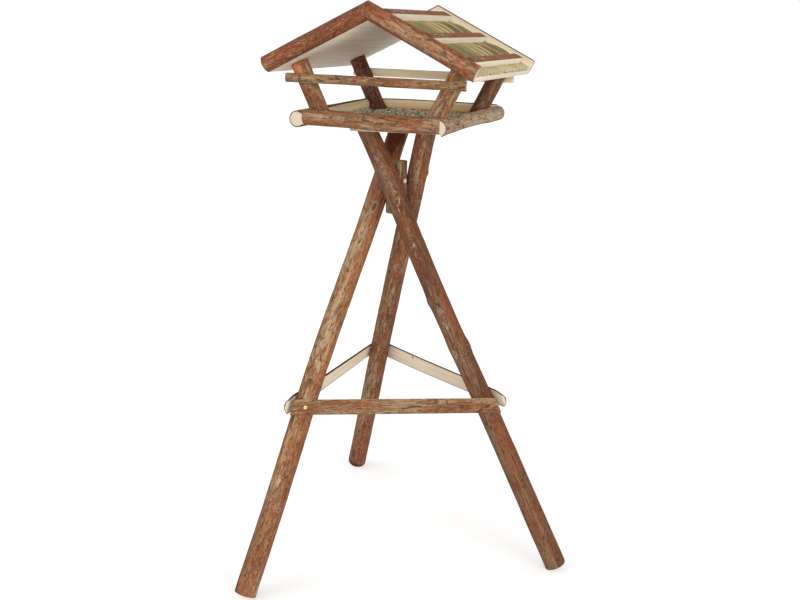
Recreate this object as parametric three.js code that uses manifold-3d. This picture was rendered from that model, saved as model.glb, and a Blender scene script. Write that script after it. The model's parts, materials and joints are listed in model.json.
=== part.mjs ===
// Rustic bird table: a small pitched-roof feeding house on a tripod of bark-covered poles.
// The ground is at z = 0, +Z is up, the gable front faces -Y and the ridge runs along Y.

import * as THREE from 'three';
import { mergeVertices } from 'three/addons/utils/BufferGeometryUtils.js';
import Module from 'manifold-3d';

const wasm = await Module();
wasm.setup();

// Driving dimensions: lengths in millimetres, angles in degrees
const clearance = 0.3;
const overrun = 4;

// Tripod: three crossing poles round a short centre post
const legCount = 3;
const legFootDiameter = 45;
const legTopDiameter = 39.5;
const legLean = 25.5;
const legTwist = 9.85;
const crossingDrop = 111;
const centrePostDiameter = 42;
const centrePostLength = 106.5;
const centrePostDrop = 6;
const legSeatDepth = 1.5;
const tripodOffsetX = -9;
const tripodOffsetY = -4;

// Braces: three slabs with bark on the outer face, screwed to the outer sides of the legs
const braceHeight = 362;
const frontBraceWidth = 30.5;
const sideBraceWidth = 38;
const rightBraceLift = 4.5;
const braceThickness = 8;
const braceCrown = 4;
const frontBraceOverhang = 26;
const sideBraceOverhang = 29;

// Mounting plate and tray
const plateMargin = 16.4;
const plateTurn = 14;
const plateThickness = 12.5;
const plateBottom = 911;
const boardThickness = 9;
const trayWidth = 312;
const trayDepth = 376;
const sideRailDiameter = 31;
const leftRailSlice = 5;
const leftRailBackSlice = 15.5;
const leftRailBackRise = 5.5;
const rightRailThickness = 14;
const sideRailDrop = 3.5;
const endRailDiameter = 30;
const endRailThickness = 15;
const endRailLift = 1;
const seedDepth = 2;
const seedWave = 0.8;

// House: four posts square to the roof slopes, and a slat across each gable
const postDiameter = 34.5;
const postSideInset = 46;
const postEndInset = 53;
const slatWidth = 17;
const slatThickness = 9;
const slatOverhang = 31;
const slatGap = 11.2;

// Roof
const roofPitch = 26.2;
const roofRise = 183.7;
const slopeLength = 222.6;
const roofDepth = 400;
const panelThickness = 9;
const bargeWidth = 31;
const bargeThickness = 15;
const reedLayer = 5;
const reedCount = 56;
const battenWidth = 18;
const battenHeight = 15;
const battenCrown = 2.5;
const battenEndGap = 20;
const ridgeBattenInset = 9;
const eaveBattenInset = 20.6;

// Screws and pins
const braceScrew = { length: 25, shank: 3.5, head: 7 };
const crossingScrewShank = 5;
const crossingScrewHead = 9;
const crossingScrewGrip = 20;
const legTopScrew = { length: 50, shank: 5, head: 9 };
const plateScrewShank = 4;
const plateScrewHead = 8;
const plateScrewCover = 1.8;
const postScrew = { length: 35, shank: 4, head: 8 };
const slatPin = { length: 26, shank: 2.5, head: 5 };
const crossingScrewStep = 8;
const screwSink = 0.6;

// Shares and counts
// The natural bend of each leg at equal steps from foot to top, as shares of its foot diameter
const legBendShares = [
  [0, 0, -0.02, -0.03, -0.11, -0.12, -0.1, 0, 0],
  [-0.05, -0.05, -0.055, -0.06, -0.06, -0.025, 0, 0.015, 0.025],
  [0, -0.01, -0.03, -0.1, -0.12, -0.09, -0.02, 0, 0],
];
const plateScrewShares = [[0.42, -0.42], [0.42, 0.42], [-0.42, 0.42], [-0.42, 0]];
const barkLumpShare = 0.05;
const barkRidges = 2;
const barkTwist = 3;
const barkLumps = 9;
const stripWaveShare = 0.08;
const stripWaves = [7, 17];
const seedWaves = [11, 13];
const headConeShare = 0.5;
const tipShare = 1.5;
const legBendTurns = [0, 246, 129];
const poleSides = 12;
const legRings = 14;
const shortPoleRings = 4;
const stripSteps = 8;
const arcSegments = 4;
const reedSegments = 2;
const screwSides = 8;
const seedCells = 12;

// Finishes
const barkColour = 0x7d4f38;
const paleWoodColour = 0xdfcaa0;
const reedColour = 0xa59b62;
const seedColour = 0x8c8e78;
const steelColour = 0xb8ab8c;
const woodRoughness = 0.9;
const steelRoughness = 0.4;
const steelMetalness = 0.9;

// Sizes that follow from the driving ones
const lean = THREE.MathUtils.degToRad(legLean);
const pitch = THREE.MathUtils.degToRad(roofPitch);
const crossingHeight = plateBottom - crossingDrop;
const centrePostHeight = crossingHeight - centrePostDrop;
const legBottomZ = (legFootDiameter / 2 * Math.sin(lean) - crossingHeight) / Math.cos(lean);
const legTopZ = (plateBottom - clearance - crossingHeight) / Math.cos(lean);
const crossingRadius = legRadiusAt(0);
const legOffset = crossingRadius + centrePostDiameter / 2 - legSeatDepth;
const plateSide = 2 * (Math.hypot(crossingDrop * Math.tan(lean), legOffset) + plateMargin);
const boardBottom = plateBottom + plateThickness + clearance;
const boardTop = boardBottom + boardThickness;
const apexHeight = boardTop + roofRise;
const leftRailThickness = sideRailDiameter - leftRailSlice;
const leftRailBackThickness = sideRailDiameter - leftRailBackSlice;
const leftRailX = -trayWidth / 2 + leftRailThickness;
const rightRailX = trayWidth / 2 - rightRailThickness;
const endRailY = trayDepth / 2 - endRailThickness;
const roofFaceY = roofDepth / 2 - bargeThickness;
const postFootX = trayWidth / 2 - postSideInset;
const postFootY = trayDepth / 2 - postEndInset;
const slatY = postFootY + postDiameter / 2 + clearance;
const slatRoom = roofRise - (postFootX + slatOverhang) * Math.tan(pitch) - slatGap - slatWidth / 2;
const slatRise = slatRoom * Math.cos(pitch) ** 2;
const slatPinX = postFootX + slatRise * Math.tan(pitch);
const slatLength = 2 * (slatPinX + slatOverhang);
const slatHeight = boardTop + slatRise;
const lowerBattenPlace = slopeLength - eaveBattenInset - battenWidth;
const middleBattenPlace = (ridgeBattenInset + lowerBattenPlace) / 2;
const reedBottom = panelThickness + clearance;
const reedTop = reedBottom + reedLayer;
const crossingScrew = {
  length: centrePostDiameter - screwSink - legSeatDepth + crossingScrewGrip,
  shank: crossingScrewShank,
  head: crossingScrewHead,
};
const plateScrew = {
  length: plateThickness + clearance + boardThickness - plateScrewCover,
  shank: plateScrewShank,
  head: plateScrewHead,
};

const xAxis = new THREE.Vector3(1, 0, 0);
const yAxis = new THREE.Vector3(0, 1, 0);
const zAxis = new THREE.Vector3(0, 0, 1);

// Solid helpers

function weld(geometry) {
  geometry.deleteAttribute('normal');
  geometry.deleteAttribute('uv');
  return mergeVertices(geometry);
}

function mapVertices(geometry, move) {
  const position = geometry.attributes.position;
  const point = new THREE.Vector3();
  for (let i = 0; i < position.count; i += 1) {
    point.fromBufferAttribute(position, i);
    move(point);
    position.setXYZ(i, point.x, point.y, point.z);
  }
  return geometry;
}

function solidOf(geometry) {
  const welded = mergeVertices(geometry);
  return new wasm.Manifold(new wasm.Mesh({
    numProp: 3,
    vertProperties: new Float32Array(welded.attributes.position.array),
    triVerts: new Uint32Array(welded.index.array),
  }));
}

function geometryOf(solid) {
  const mesh = solid.getMesh();
  const geometry = new THREE.BufferGeometry();
  geometry.setAttribute('position', new THREE.BufferAttribute(mesh.vertProperties, 3));
  geometry.setIndex(new THREE.BufferAttribute(mesh.triVerts, 1));
  return geometry;
}

// Cuts the space of other placed meshes out of a mesh, in the mesh's own frame
function carve(mesh, cutters) {
  table.updateMatrixWorld(true);
  const toMesh = mesh.matrixWorld.clone().invert();
  let solid = solidOf(mesh.geometry);
  for (const cutter of cutters) {
    const place = toMesh.clone().multiply(cutter.matrixWorld);
    solid = solid.subtract(solidOf(cutter.geometry.clone().applyMatrix4(place)));
  }
  mesh.geometry = geometryOf(solid);
}

function addPiece(parent, name, geometry, colour, roughness = woodRoughness, metalness = 0) {
  const material = new THREE.MeshStandardMaterial({ color: colour, roughness, metalness });
  const mesh = new THREE.Mesh(geometry, material);
  mesh.name = name;
  parent.add(mesh);
  return mesh;
}

// Turns an object so that its x, y and z follow u, v and u cross v
function orient(object, u, v) {
  const w = new THREE.Vector3().crossVectors(u, v);
  object.quaternion.setFromRotationMatrix(new THREE.Matrix4().makeBasis(u, v, w));
}

function addGroup(parent) {
  const group = new THREE.Group();
  parent.add(group);
  return group;
}

// Bark swells and narrows a pole along its length, and never past its stated diameter
function barkShare(angle, share, grain) {
  const ridge = Math.sin(barkRidges * angle + grain + barkTwist * share);
  const lump = Math.sin(barkLumps * share + 2 * grain + angle);
  return 1 - barkLumpShare * (2 + ridge + lump) / 4;
}

function straight() {
  return [0, 0];
}

// Round pole along z, with ends that may slope across x, and a bend of its own
function poleGeometry(pole) {
  const { diameter, topDiameter = diameter, bottom, top, rings, grain, bend = straight } = pole;
  const { bottomSlope = 0, topSlope = 0 } = pole;
  const length = top - bottom;
  const geometry = new THREE.CylinderGeometry(topDiameter / 2, diameter / 2, length, poleSides, rings);
  geometry.rotateX(Math.PI / 2);
  return mapVertices(weld(geometry), (point) => {
    const share = point.z / length + 0.5;
    const swell = barkShare(Math.atan2(point.y, point.x), share, grain);
    point.x *= swell;
    point.y *= swell;
    const low = bottom + point.x * bottomSlope;
    const high = top + point.x * topSlope;
    point.z = THREE.MathUtils.lerp(low, high, share);
    const [bendX, bendY] = bend(share);
    point.x += bendX;
    point.y += bendY;
  });
}

// D section of a split pole: flat on x = 0, bark towards +x
function splitShape(diameter, thickness, spare = 0) {
  const radius = diameter / 2 + spare;
  const centre = thickness - diameter / 2;
  const angle = Math.acos(-centre / radius);
  const shape = new THREE.Shape();
  shape.absarc(centre, 0, radius, -angle, angle, false);
  shape.closePath();
  return shape;
}

// Section of a sawn slab: flat on x = 0, with a crown of bark over its far side
function slabShape(width, thickness, crown) {
  const shape = new THREE.Shape();
  shape.moveTo(0, -width / 2);
  shape.lineTo(thickness - crown, -width / 2);
  shape.quadraticCurveTo(thickness + crown, 0, thickness - crown, width / 2);
  shape.lineTo(0, width / 2);
  shape.closePath();
  return shape;
}

// Stock of one section along z, centred on its middle, with bark that waves a little
function stripGeometry(shape, length, grain, steps = stripSteps) {
  const geometry = new THREE.ExtrudeGeometry(shape, {
    depth: length,
    steps,
    curveSegments: arcSegments,
    bevelEnabled: false,
  });
  geometry.translate(0, 0, -length / 2);
  const [slow, fast] = stripWaves;
  return mapVertices(weld(geometry), (point) => {
    const share = point.z / length;
    const wave = Math.sin(slow * share + grain) + Math.sin(fast * share + 2 * grain);
    point.x *= 1 - stripWaveShare * (2 + wave) / 4;
  });
}

function boxGeometry(width, depth, height, cells = [1, 1, 1]) {
  return weld(new THREE.BoxGeometry(width, depth, height, ...cells));
}

// Countersunk screw along -z, with the top of its head at z = 0
function screwGeometry({ length, shank, head }, spare = 0, well = 0) {
  const headRadius = head / 2 + spare;
  const shankRadius = shank / 2 + spare;
  const coneDepth = head * headConeShare;
  const tip = shank * tipShare;
  const profile = [
    new THREE.Vector2(0, -length - spare),
    new THREE.Vector2(shankRadius, -length + tip),
    new THREE.Vector2(shankRadius, -coneDepth - spare),
    new THREE.Vector2(headRadius, -spare),
    new THREE.Vector2(headRadius, well),
    new THREE.Vector2(0, well),
  ].filter((point, i, all) => i === 0 || point.distanceTo(all[i - 1]) > 0);
  const geometry = new THREE.LatheGeometry(profile, screwSides);
  geometry.rotateX(Math.PI / 2);
  return weld(geometry);
}

// Adds a screw that is driven along a direction, and cuts its hole in the pieces it passes
function driveScrew(parent, name, size, headPoint, direction, through) {
  const screw = addPiece(parent, name, screwGeometry(size), steelColour, steelRoughness, steelMetalness);
  screw.position.copy(headPoint);
  screw.quaternion.setFromUnitVectors(zAxis.clone().negate(), direction.clone().normalize());
  const hole = new THREE.Mesh(screwGeometry(size, clearance, overrun));
  screw.add(hole);
  for (const mesh of through) {
    carve(mesh, [hole]);
  }
  screw.remove(hole);
  return screw;
}

const table = new THREE.Group();

// Tripod

const tripod = addGroup(table);
tripod.position.set(tripodOffsetX, tripodOffsetY, 0);
tripod.rotation.z = THREE.MathUtils.degToRad(legTwist);

const legNames = ['leg_right', 'leg_back', 'leg_left'];

function legRadiusAt(z) {
  const share = (z - legBottomZ) / (legTopZ - legBottomZ);
  return THREE.MathUtils.lerp(legFootDiameter, legTopDiameter, share) / 2;
}

function legBend(index) {
  const points = legBendShares[index].map((share, step) => new THREE.Vector2(step, share * legFootDiameter));
  const curve = new THREE.SplineCurve(points);
  const turn = THREE.MathUtils.degToRad(legBendTurns[index]);
  return (share) => {
    const offset = curve.getPoint(THREE.MathUtils.clamp(share, 0, 1)).y;
    return [offset * Math.cos(turn), offset * Math.sin(turn)];
  };
}

function legGeometry(index, spare = 0) {
  return poleGeometry({
    diameter: legFootDiameter + 2 * spare,
    topDiameter: legTopDiameter + 2 * spare,
    bottom: legBottomZ,
    top: legTopZ,
    topSlope: -Math.tan(lean),
    rings: legRings,
    grain: 2 * index,
    bend: legBend(index),
  });
}

// Each leg stands in a turned frame of its own, in which it leans along x
const legFrames = legNames.map((name, index) => {
  const turned = addGroup(tripod);
  turned.rotation.z = index * 2 * Math.PI / legCount;
  const frame = addGroup(turned);
  frame.position.set(0, -legOffset, crossingHeight);
  frame.rotation.y = -lean;
  return frame;
});

const legs = legNames.map((name, index) => addPiece(legFrames[index], name, legGeometry(index), barkColour));

const legSpaces = legFrames.map((frame, index) => {
  const space = new THREE.Mesh(legGeometry(index, clearance));
  space.matrixAutoUpdate = false;
  table.updateMatrixWorld(true);
  space.matrixWorld.copy(frame.matrixWorld);
  return space;
});

const centrePost = addPiece(tripod, 'centre_post', poleGeometry({
  diameter: centrePostDiameter,
  bottom: -centrePostLength / 2,
  top: centrePostLength / 2,
  rings: shortPoleRings,
  grain: 1,
}), barkColour);
centrePost.position.z = centrePostHeight;
carve(centrePost, legSpaces);

// One long screw through the centre post into each leg, at stepped heights so that they pass
legs.forEach((leg, index) => {
  const turned = legFrames[index].parent;
  const height = crossingHeight + (index - 1) * crossingScrewStep;
  const head = new THREE.Vector3(0, centrePostDiameter / 2 - screwSink, height);
  const direction = yAxis.clone().negate();
  driveScrew(turned, `crossing_screw_${leg.name}`, crossingScrew, head, direction, [leg, centrePost]);
});

// Braces: each one lies flat on two legs, so it twists a little from one to the other

function legLine(index, height) {
  table.updateMatrixWorld(true);
  const frame = legFrames[index].matrixWorld;
  const origin = new THREE.Vector3().setFromMatrixPosition(frame);
  const down = new THREE.Vector3(0, 0, -1).transformDirection(frame);
  const z = (origin.z - height) / down.z;
  const [bendX, bendY] = legBend(index)((z - legBottomZ) / (legTopZ - legBottomZ));
  const point = new THREE.Vector3(bendX, bendY, z).applyMatrix4(frame);
  return { point, down, radius: legRadiusAt(z) };
}

function braceSeat(from, to) {
  const along = new THREE.Vector3().subVectors(to.point, from.point).normalize();
  const normalAt = (line) => new THREE.Vector3().crossVectors(line.down, along).normalize();
  return { along, normals: [normalAt(from), normalAt(to)] };
}

function addBrace(name, fromIndex, toIndex, width, overhang, lift = 0) {
  const ends = [fromIndex, toIndex].map((index) => legLine(index, braceHeight + lift));
  const { along, normals } = braceSeat(...ends);
  const seats = ends.map((end, i) => end.point.clone().addScaledVector(normals[i], end.radius + clearance));
  const span = seats[1].distanceTo(seats[0]);
  const length = span + 2 * overhang;
  const section = slabShape(width, braceThickness, braceCrown);
  const ups = normals.map((normal) => new THREE.Vector3().crossVectors(normal, along));
  const slants = ends.map((end, i) => end.down.dot(along) / end.down.dot(ups[i]));
  const geometry = mapVertices(stripGeometry(section, length, fromIndex), (point) => {
    const endShare = point.z / length + 0.5;
    const share = (endShare * length - overhang) / span;
    const normal = normals[0].clone().lerp(normals[1], share).normalize();
    const up = new THREE.Vector3().crossVectors(normal, along);
    const slant = THREE.MathUtils.lerp(slants[0], slants[1], endShare);
    const { x: out, y: rise } = point;
    point.lerpVectors(seats[0], seats[1], share);
    point.addScaledVector(normal, out);
    point.addScaledVector(up, -rise);
    point.addScaledVector(along, -rise * slant);
  });
  const brace = addPiece(table, name, geometry, barkColour);
  carve(brace, legSpaces);
  const sides = [fromIndex, toIndex];
  sides.forEach((legIndex, i) => {
    const head = seats[i].clone().addScaledVector(normals[i], braceThickness - screwSink);
    const direction = normals[i].clone().negate();
    const screwName = `${name}_screw_${legNames[legIndex].slice('leg_'.length)}`;
    driveScrew(table, screwName, braceScrew, head, direction, [brace, legs[legIndex]]);
  });
}

addBrace('brace_front', 2, 0, frontBraceWidth, frontBraceOverhang);
addBrace('brace_right', 0, 1, sideBraceWidth, sideBraceOverhang, rightBraceLift);
addBrace('brace_left', 1, 2, sideBraceWidth, sideBraceOverhang);

// Mounting plate on the leg tops, under the tray

const plateGeometry = boxGeometry(plateSide, plateSide, plateThickness);
const plate = addPiece(table, 'mounting_plate', plateGeometry, paleWoodColour);
plate.position.set(tripodOffsetX, tripodOffsetY, plateBottom + plateThickness / 2);
plate.rotation.z = THREE.MathUtils.degToRad(plateTurn);

legs.forEach((leg, index) => {
  const frame = legFrames[index];
  const sink = legTopScrew.head / 2 * Math.sin(lean);
  const plateTop = plateBottom + plateThickness;
  const head = new THREE.Vector3(0, 0, (plateTop - sink - crossingHeight) / Math.cos(lean));
  driveScrew(frame, `leg_top_screw_${leg.name}`, legTopScrew, head, zAxis.clone().negate(), [plate, leg]);
});

// Tray: a base board edged with split rails

const boardWidth = rightRailX - leftRailX - 2 * clearance;
const boardDepth = 2 * (endRailY - clearance);
const boardX = (leftRailX + rightRailX) / 2;
const boardGeometry = boxGeometry(boardWidth, boardDepth, boardThickness);
const board = addPiece(table, 'base_board', boardGeometry, paleWoodColour);
board.position.set(boardX, 0, boardBottom + boardThickness / 2);

plateScrewShares.forEach(([shareX, shareY], index) => {
  const head = new THREE.Vector3(shareX * plateSide, shareY * plateSide, -plateThickness / 2);
  driveScrew(plate, `plate_screw_${index + 1}`, plateScrew, head, zAxis, [plate, board]);
});

// Split pole whose flat may run askew, so that its thickness changes towards the far end
function railGeometry(diameter, thickness, length, grain, { farThickness = thickness, spare = 0 } = {}) {
  const radius = diameter / 2 + spare;
  const centreAt = (share) => THREE.MathUtils.lerp(thickness, farThickness, share) - diameter / 2;
  const openingAt = (centre) => Math.acos(-centre / radius);
  const near = centreAt(0);
  return mapVertices(stripGeometry(splitShape(diameter, thickness, spare), length, grain), (point) => {
    const centre = centreAt(point.z / length + 0.5);
    const reach = Math.hypot(point.x - near, point.y);
    const angle = Math.atan2(point.y, point.x - near) * openingAt(centre) / openingAt(near);
    point.x = centre + reach * Math.cos(angle);
    point.y = reach * Math.sin(angle);
  });
}

const sideRailZ = boardBottom - sideRailDrop + sideRailDiameter / 2;
const endRailZ = boardBottom + endRailLift + endRailDiameter / 2;
const endRailLength = boardWidth;

function leftRailGeometry(spare = 0) {
  const options = { farThickness: leftRailBackThickness, spare };
  return railGeometry(sideRailDiameter, leftRailThickness, trayDepth, 1, options);
}

const railLeft = addPiece(table, 'rail_left', leftRailGeometry(), barkColour);
railLeft.position.set(leftRailX, 0, sideRailZ + leftRailBackRise / 2);
orient(railLeft, xAxis.clone().negate(), zAxis);
railLeft.rotateX(-Math.asin(leftRailBackRise / trayDepth));

const railRightGeometry = railGeometry(sideRailDiameter, rightRailThickness, trayDepth, 4);
const railRight = addPiece(table, 'rail_right', railRightGeometry, barkColour);
railRight.position.set(rightRailX, 0, sideRailZ);
orient(railRight, xAxis, zAxis);

for (const [name, side, grain] of [['rail_front', -1, 2], ['rail_back', 1, 5]]) {
  const geometry = railGeometry(endRailDiameter, endRailThickness, endRailLength, grain);
  const rail = addPiece(table, name, geometry, barkColour);
  rail.position.set(boardX, side * endRailY, endRailZ);
  orient(rail, yAxis.clone().multiplyScalar(side), zAxis);
}

// House posts: square to the slope above them, so each leans out by the roof's pitch

const postLength = (apexHeight - boardTop) * Math.cos(pitch) - postFootX * Math.sin(pitch) - clearance;
const footSlope = Math.tan(pitch);

function postGeometry(grain, spare = 0) {
  return poleGeometry({
    diameter: postDiameter + 2 * spare,
    bottom: clearance,
    top: postLength,
    bottomSlope: footSlope,
    rings: shortPoleRings,
    grain,
  });
}

const seedBed = addPiece(table, 'seed_bed', mapVertices(
  boxGeometry(boardWidth - clearance, boardDepth - clearance, seedDepth, [seedCells, seedCells, 1]),
  (point) => {
    if (point.z > 0) {
      const across = Math.sin(seedWaves[0] * point.x / boardWidth);
      const along = Math.cos(seedWaves[1] * point.y / boardDepth);
      point.z += seedWave * (across + along) / 2;
    }
  },
), seedColour);
seedBed.position.set(boardX, 0, boardTop + clearance + seedDepth / 2);

const railSpace = new THREE.Mesh(leftRailGeometry(clearance));
railLeft.add(railSpace);
railSpace.position.x = -clearance;

const posts = {};
for (const [sideName, side] of [['left', -1], ['right', 1]]) {
  for (const [endName, end] of [['front', -1], ['back', 1]]) {
    const frame = addGroup(table);
    frame.position.set(side * postFootX, end * postFootY, boardTop);
    frame.rotation.z = side < 0 ? Math.PI : 0;
    const tilted = addGroup(frame);
    tilted.rotation.y = pitch;
    const grain = 3 * side + end;
    const name = `post_${endName}_${sideName}`;
    const post = addPiece(tilted, name, postGeometry(grain), barkColour);
    const space = new THREE.Mesh(postGeometry(grain, clearance));
    tilted.add(space);
    carve(seedBed, [space]);
    tilted.remove(space);
    carve(post, [railSpace]);
    const head = new THREE.Vector3(side * postFootX, end * postFootY, boardBottom);
    driveScrew(table, `${name}_screw`, postScrew, head, zAxis, [board, post]);
    posts[name] = post;
  }
}
railLeft.remove(railSpace);

// Slats across the gables, pinned to the outer sides of the posts

for (const [endName, end] of [['front', -1], ['back', 1]]) {
  const geometry = stripGeometry(splitShape(slatWidth, slatThickness), slatLength, end);
  const slat = addPiece(table, `slat_${endName}`, geometry, barkColour);
  slat.position.set(0, end * slatY, slatHeight);
  orient(slat, yAxis.clone().multiplyScalar(end), zAxis);
  for (const [sideName, side] of [['left', -1], ['right', 1]]) {
    const head = new THREE.Vector3(side * slatPinX, end * (slatY + slatThickness), slatHeight);
    const inward = yAxis.clone().multiplyScalar(-end);
    const post = posts[`post_${endName}_${sideName}`];
    driveScrew(table, `slat_pin_${endName}_${sideName}`, slatPin, head, inward, [slat, post]);
  }
}

// Roof: each slope has a frame with x down the slope, z square out of it, and y along the eave

// Gives a piece along x its mitre at the ridge and its square cut at the eave
function fitSlope(geometry, length) {
  return mapVertices(geometry, (point) => {
    const share = point.x / length + 0.5;
    const ridgeEnd = clearance - point.z * Math.tan(pitch);
    point.x = THREE.MathUtils.lerp(ridgeEnd, slopeLength, share);
  });
}

function reedShape(width) {
  const shape = new THREE.Shape();
  const radius = width / reedCount / 2;
  shape.moveTo(-width / 2, 0);
  shape.lineTo(width / 2, 0);
  shape.lineTo(width / 2, reedLayer - radius);
  for (let i = reedCount; i > 0; i -= 1) {
    const centre = -width / 2 + radius * (2 * i - 1);
    shape.absarc(centre, reedLayer - radius, radius, 0, Math.PI, false);
  }
  shape.closePath();
  return shape;
}

function reedGeometry(width) {
  const geometry = weld(new THREE.ExtrudeGeometry(reedShape(width), {
    depth: slopeLength,
    steps: 1,
    curveSegments: reedSegments,
    bevelEnabled: false,
  }));
  geometry.translate(0, 0, -slopeLength / 2);
  geometry.applyMatrix4(new THREE.Matrix4().makeBasis(yAxis, zAxis, xAxis));
  geometry.translate(0, 0, reedBottom);
  return fitSlope(geometry, slopeLength);
}

function addSlope(sideName, side) {
  const turned = addGroup(table);
  turned.position.z = apexHeight;
  turned.rotation.z = side < 0 ? Math.PI : 0;
  const slope = addGroup(turned);
  slope.rotation.y = pitch;
  const innerDepth = 2 * (roofFaceY - clearance);

  const panelGeometry = boxGeometry(slopeLength, innerDepth, panelThickness);
  panelGeometry.translate(0, 0, panelThickness / 2);
  addPiece(slope, `roof_panel_${sideName}`, fitSlope(panelGeometry, slopeLength), paleWoodColour);

  addPiece(slope, `thatch_${sideName}`, reedGeometry(innerDepth), reedColour);

  for (const [endName, end] of [['front', -side], ['back', side]]) {
    const grain = 2 * side + end;
    const geometry = stripGeometry(splitShape(bargeWidth, bargeThickness), slopeLength, grain);
    const outward = yAxis.clone().multiplyScalar(end);
    geometry.applyMatrix4(new THREE.Matrix4().makeBasis(outward, zAxis, xAxis.clone().multiplyScalar(end)));
    geometry.translate(0, end * roofFaceY, bargeWidth / 2);
    addPiece(slope, `bargeboard_${endName}_${sideName}`, fitSlope(geometry, slopeLength), barkColour);
  }

  const battenLength = innerDepth - 2 * battenEndGap;
  const places = [['ridge', ridgeBattenInset], ['middle', middleBattenPlace], ['lower', lowerBattenPlace]];
  places.forEach(([rowName, place], row) => {
    const section = slabShape(battenWidth, battenHeight, battenCrown);
    const geometry = stripGeometry(section, battenLength, row + side);
    const batten = addPiece(slope, `batten_${rowName}_${sideName}`, geometry, barkColour);
    batten.position.set(place + battenWidth / 2, 0, reedTop + clearance);
    orient(batten, zAxis, xAxis);
  });
}

addSlope('left', -1);
addSlope('right', 1);

// The origin is under the middle of the whole object, on the ground
table.updateMatrixWorld(true);
const box = new THREE.Box3().setFromObject(table, true);
const middle = box.getCenter(new THREE.Vector3());
table.position.set(-middle.x, -middle.y, -box.min.z);
table.updateMatrixWorld(true);

export default table;
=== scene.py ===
import json
from collections import namedtuple
from math import cos, pi, radians, sin

import bpy
import numpy as np
from mathutils import Matrix, Vector
from mathutils.bvhtree import BVHTree


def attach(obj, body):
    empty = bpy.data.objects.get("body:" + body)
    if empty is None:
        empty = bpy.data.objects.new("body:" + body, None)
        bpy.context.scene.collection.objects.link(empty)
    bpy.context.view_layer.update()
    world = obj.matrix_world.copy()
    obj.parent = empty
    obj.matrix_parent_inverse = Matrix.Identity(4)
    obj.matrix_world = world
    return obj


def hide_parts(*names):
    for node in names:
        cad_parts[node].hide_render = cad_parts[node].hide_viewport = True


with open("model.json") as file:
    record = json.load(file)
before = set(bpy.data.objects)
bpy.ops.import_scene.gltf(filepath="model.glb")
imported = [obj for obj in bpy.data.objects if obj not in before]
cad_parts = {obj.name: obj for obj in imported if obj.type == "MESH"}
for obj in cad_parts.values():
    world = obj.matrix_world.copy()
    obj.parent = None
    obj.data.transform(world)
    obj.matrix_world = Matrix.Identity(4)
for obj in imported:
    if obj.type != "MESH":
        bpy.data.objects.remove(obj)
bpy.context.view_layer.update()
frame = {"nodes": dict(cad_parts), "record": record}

# Rustic bird table: bark-covered poles, split rails, a reed roof and loose seed.
# Lengths are in metres. A piece of stock has u out of its flat face, v across it and w along it.

NODES = frame["nodes"]
X_AXIS = Vector((1, 0, 0))
Y_AXIS = Vector((0, 1, 0))
Z_AXIS = Vector((0, 0, 1))
OUTWARDS = {"left": -X_AXIS, "right": X_AXIS, "front": -Y_AXIS, "back": Y_AXIS}

# Camera
CAMERA_PLACE = (0.6417, -1.8215, 1.1205)
CAMERA_YAW = -21.108
CAMERA_PITCH = -16.008
CAMERA_ROLL = 1.656
CAMERA_LENS = 44.07
SENSOR_WIDTH = 36

# Light and floor
WORLD_LIGHT = 0.54
FLOOR_SIZE = 60.0
FLOOR_PALE = 0.86
FLOOR_LIFT = 0.4
SUNS = (
    ("Key light", (3.0, -1.7, 0.8), 1.2, 30),
    ("Front light", (1.0, -3.0, 0.2), 1.6, 30),
    ("Top light", (-1.6, -1.4, 3.0), 0.45, 40),
    ("Fill light", (-2.4, -2.4, 0.6), 0.3, 40),
)

# Mesh steps
POLE_STEP = 0.0026
FINE_STEP = 0.0018
BARK_FADE = 0.003
BARK_RIM = 0.002
SLAB_RIM = 0.0005
WIDEST_RIM = 0.7
EDGE_EASE = 0.0005
BOARD_EASE = 0.0007
BOARD_MERGE = 0.00002
CAP_SHARES = (0.35, 0.7)
SEAT_GAP = 0.0003

# Angles of mesh edges, in degrees
FLAT_ANGLE = 1
EASED_ANGLE = 40
SHARP_BOARD_ANGLE = 50
SHARP_STOCK_ANGLE = 38


# Node helpers

NOISE_MIDDLE = (0.5, 0.5, 0.5)


class Wire:
    """Output of a node. Signs between wires, numbers and vectors add the nodes that work them out."""

    def __init__(self, socket):
        self.socket = socket
        self.tree = socket.id_data

    def __add__(self, other):
        return reckoned("ADD", self, other)

    def __sub__(self, other):
        return reckoned("SUBTRACT", self, other)

    def __rsub__(self, other):
        return reckoned("SUBTRACT", other, self)

    def __mul__(self, other):
        return reckoned("MULTIPLY", self, other)

    def __truediv__(self, other):
        return reckoned("DIVIDE", self, other)

    def __rtruediv__(self, other):
        return reckoned("DIVIDE", other, self)


def plug(socket, value):
    """Links a wire to a socket, or sets a plain value on it."""
    if isinstance(value, Wire):
        value.tree.links.new(value.socket, socket)
    else:
        socket.default_value = value


def add_node(tree, kind, inputs=None, **settings):
    made = tree.nodes.new(kind)
    for key, value in settings.items():
        setattr(made, key, value)
    for key, value in (inputs or {}).items():
        plug(made.inputs[key], value)
    return made


def add_wire(tree, kind, inputs=None, output=0, **settings):
    return Wire(add_node(tree, kind, inputs, **settings).outputs[output])


def is_vector(value):
    if isinstance(value, Wire):
        return value.socket.type in ("VECTOR", "RGBA")
    return isinstance(value, tuple)


def reckoned(operation, *values):
    """Result of a Math node, or of a Vector Math node where a vector takes part."""
    tree = next(value.tree for value in values if isinstance(value, Wire))
    inputs = dict(enumerate(values))
    if not any(is_vector(value) for value in values):
        return add_wire(tree, "ShaderNodeMath", inputs, operation=operation)
    if operation == "MULTIPLY" and not is_vector(values[1]):
        operation = "SCALE"
        inputs = {0: values[0], "Scale": values[1]}
    return add_wire(tree, "ShaderNodeVectorMath", inputs, operation=operation)


def split(vector):
    """The x, y and z of a vector."""
    return [Wire(socket) for socket in add_node(vector.tree, "ShaderNodeSeparateXYZ", {0: vector}).outputs]


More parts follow.
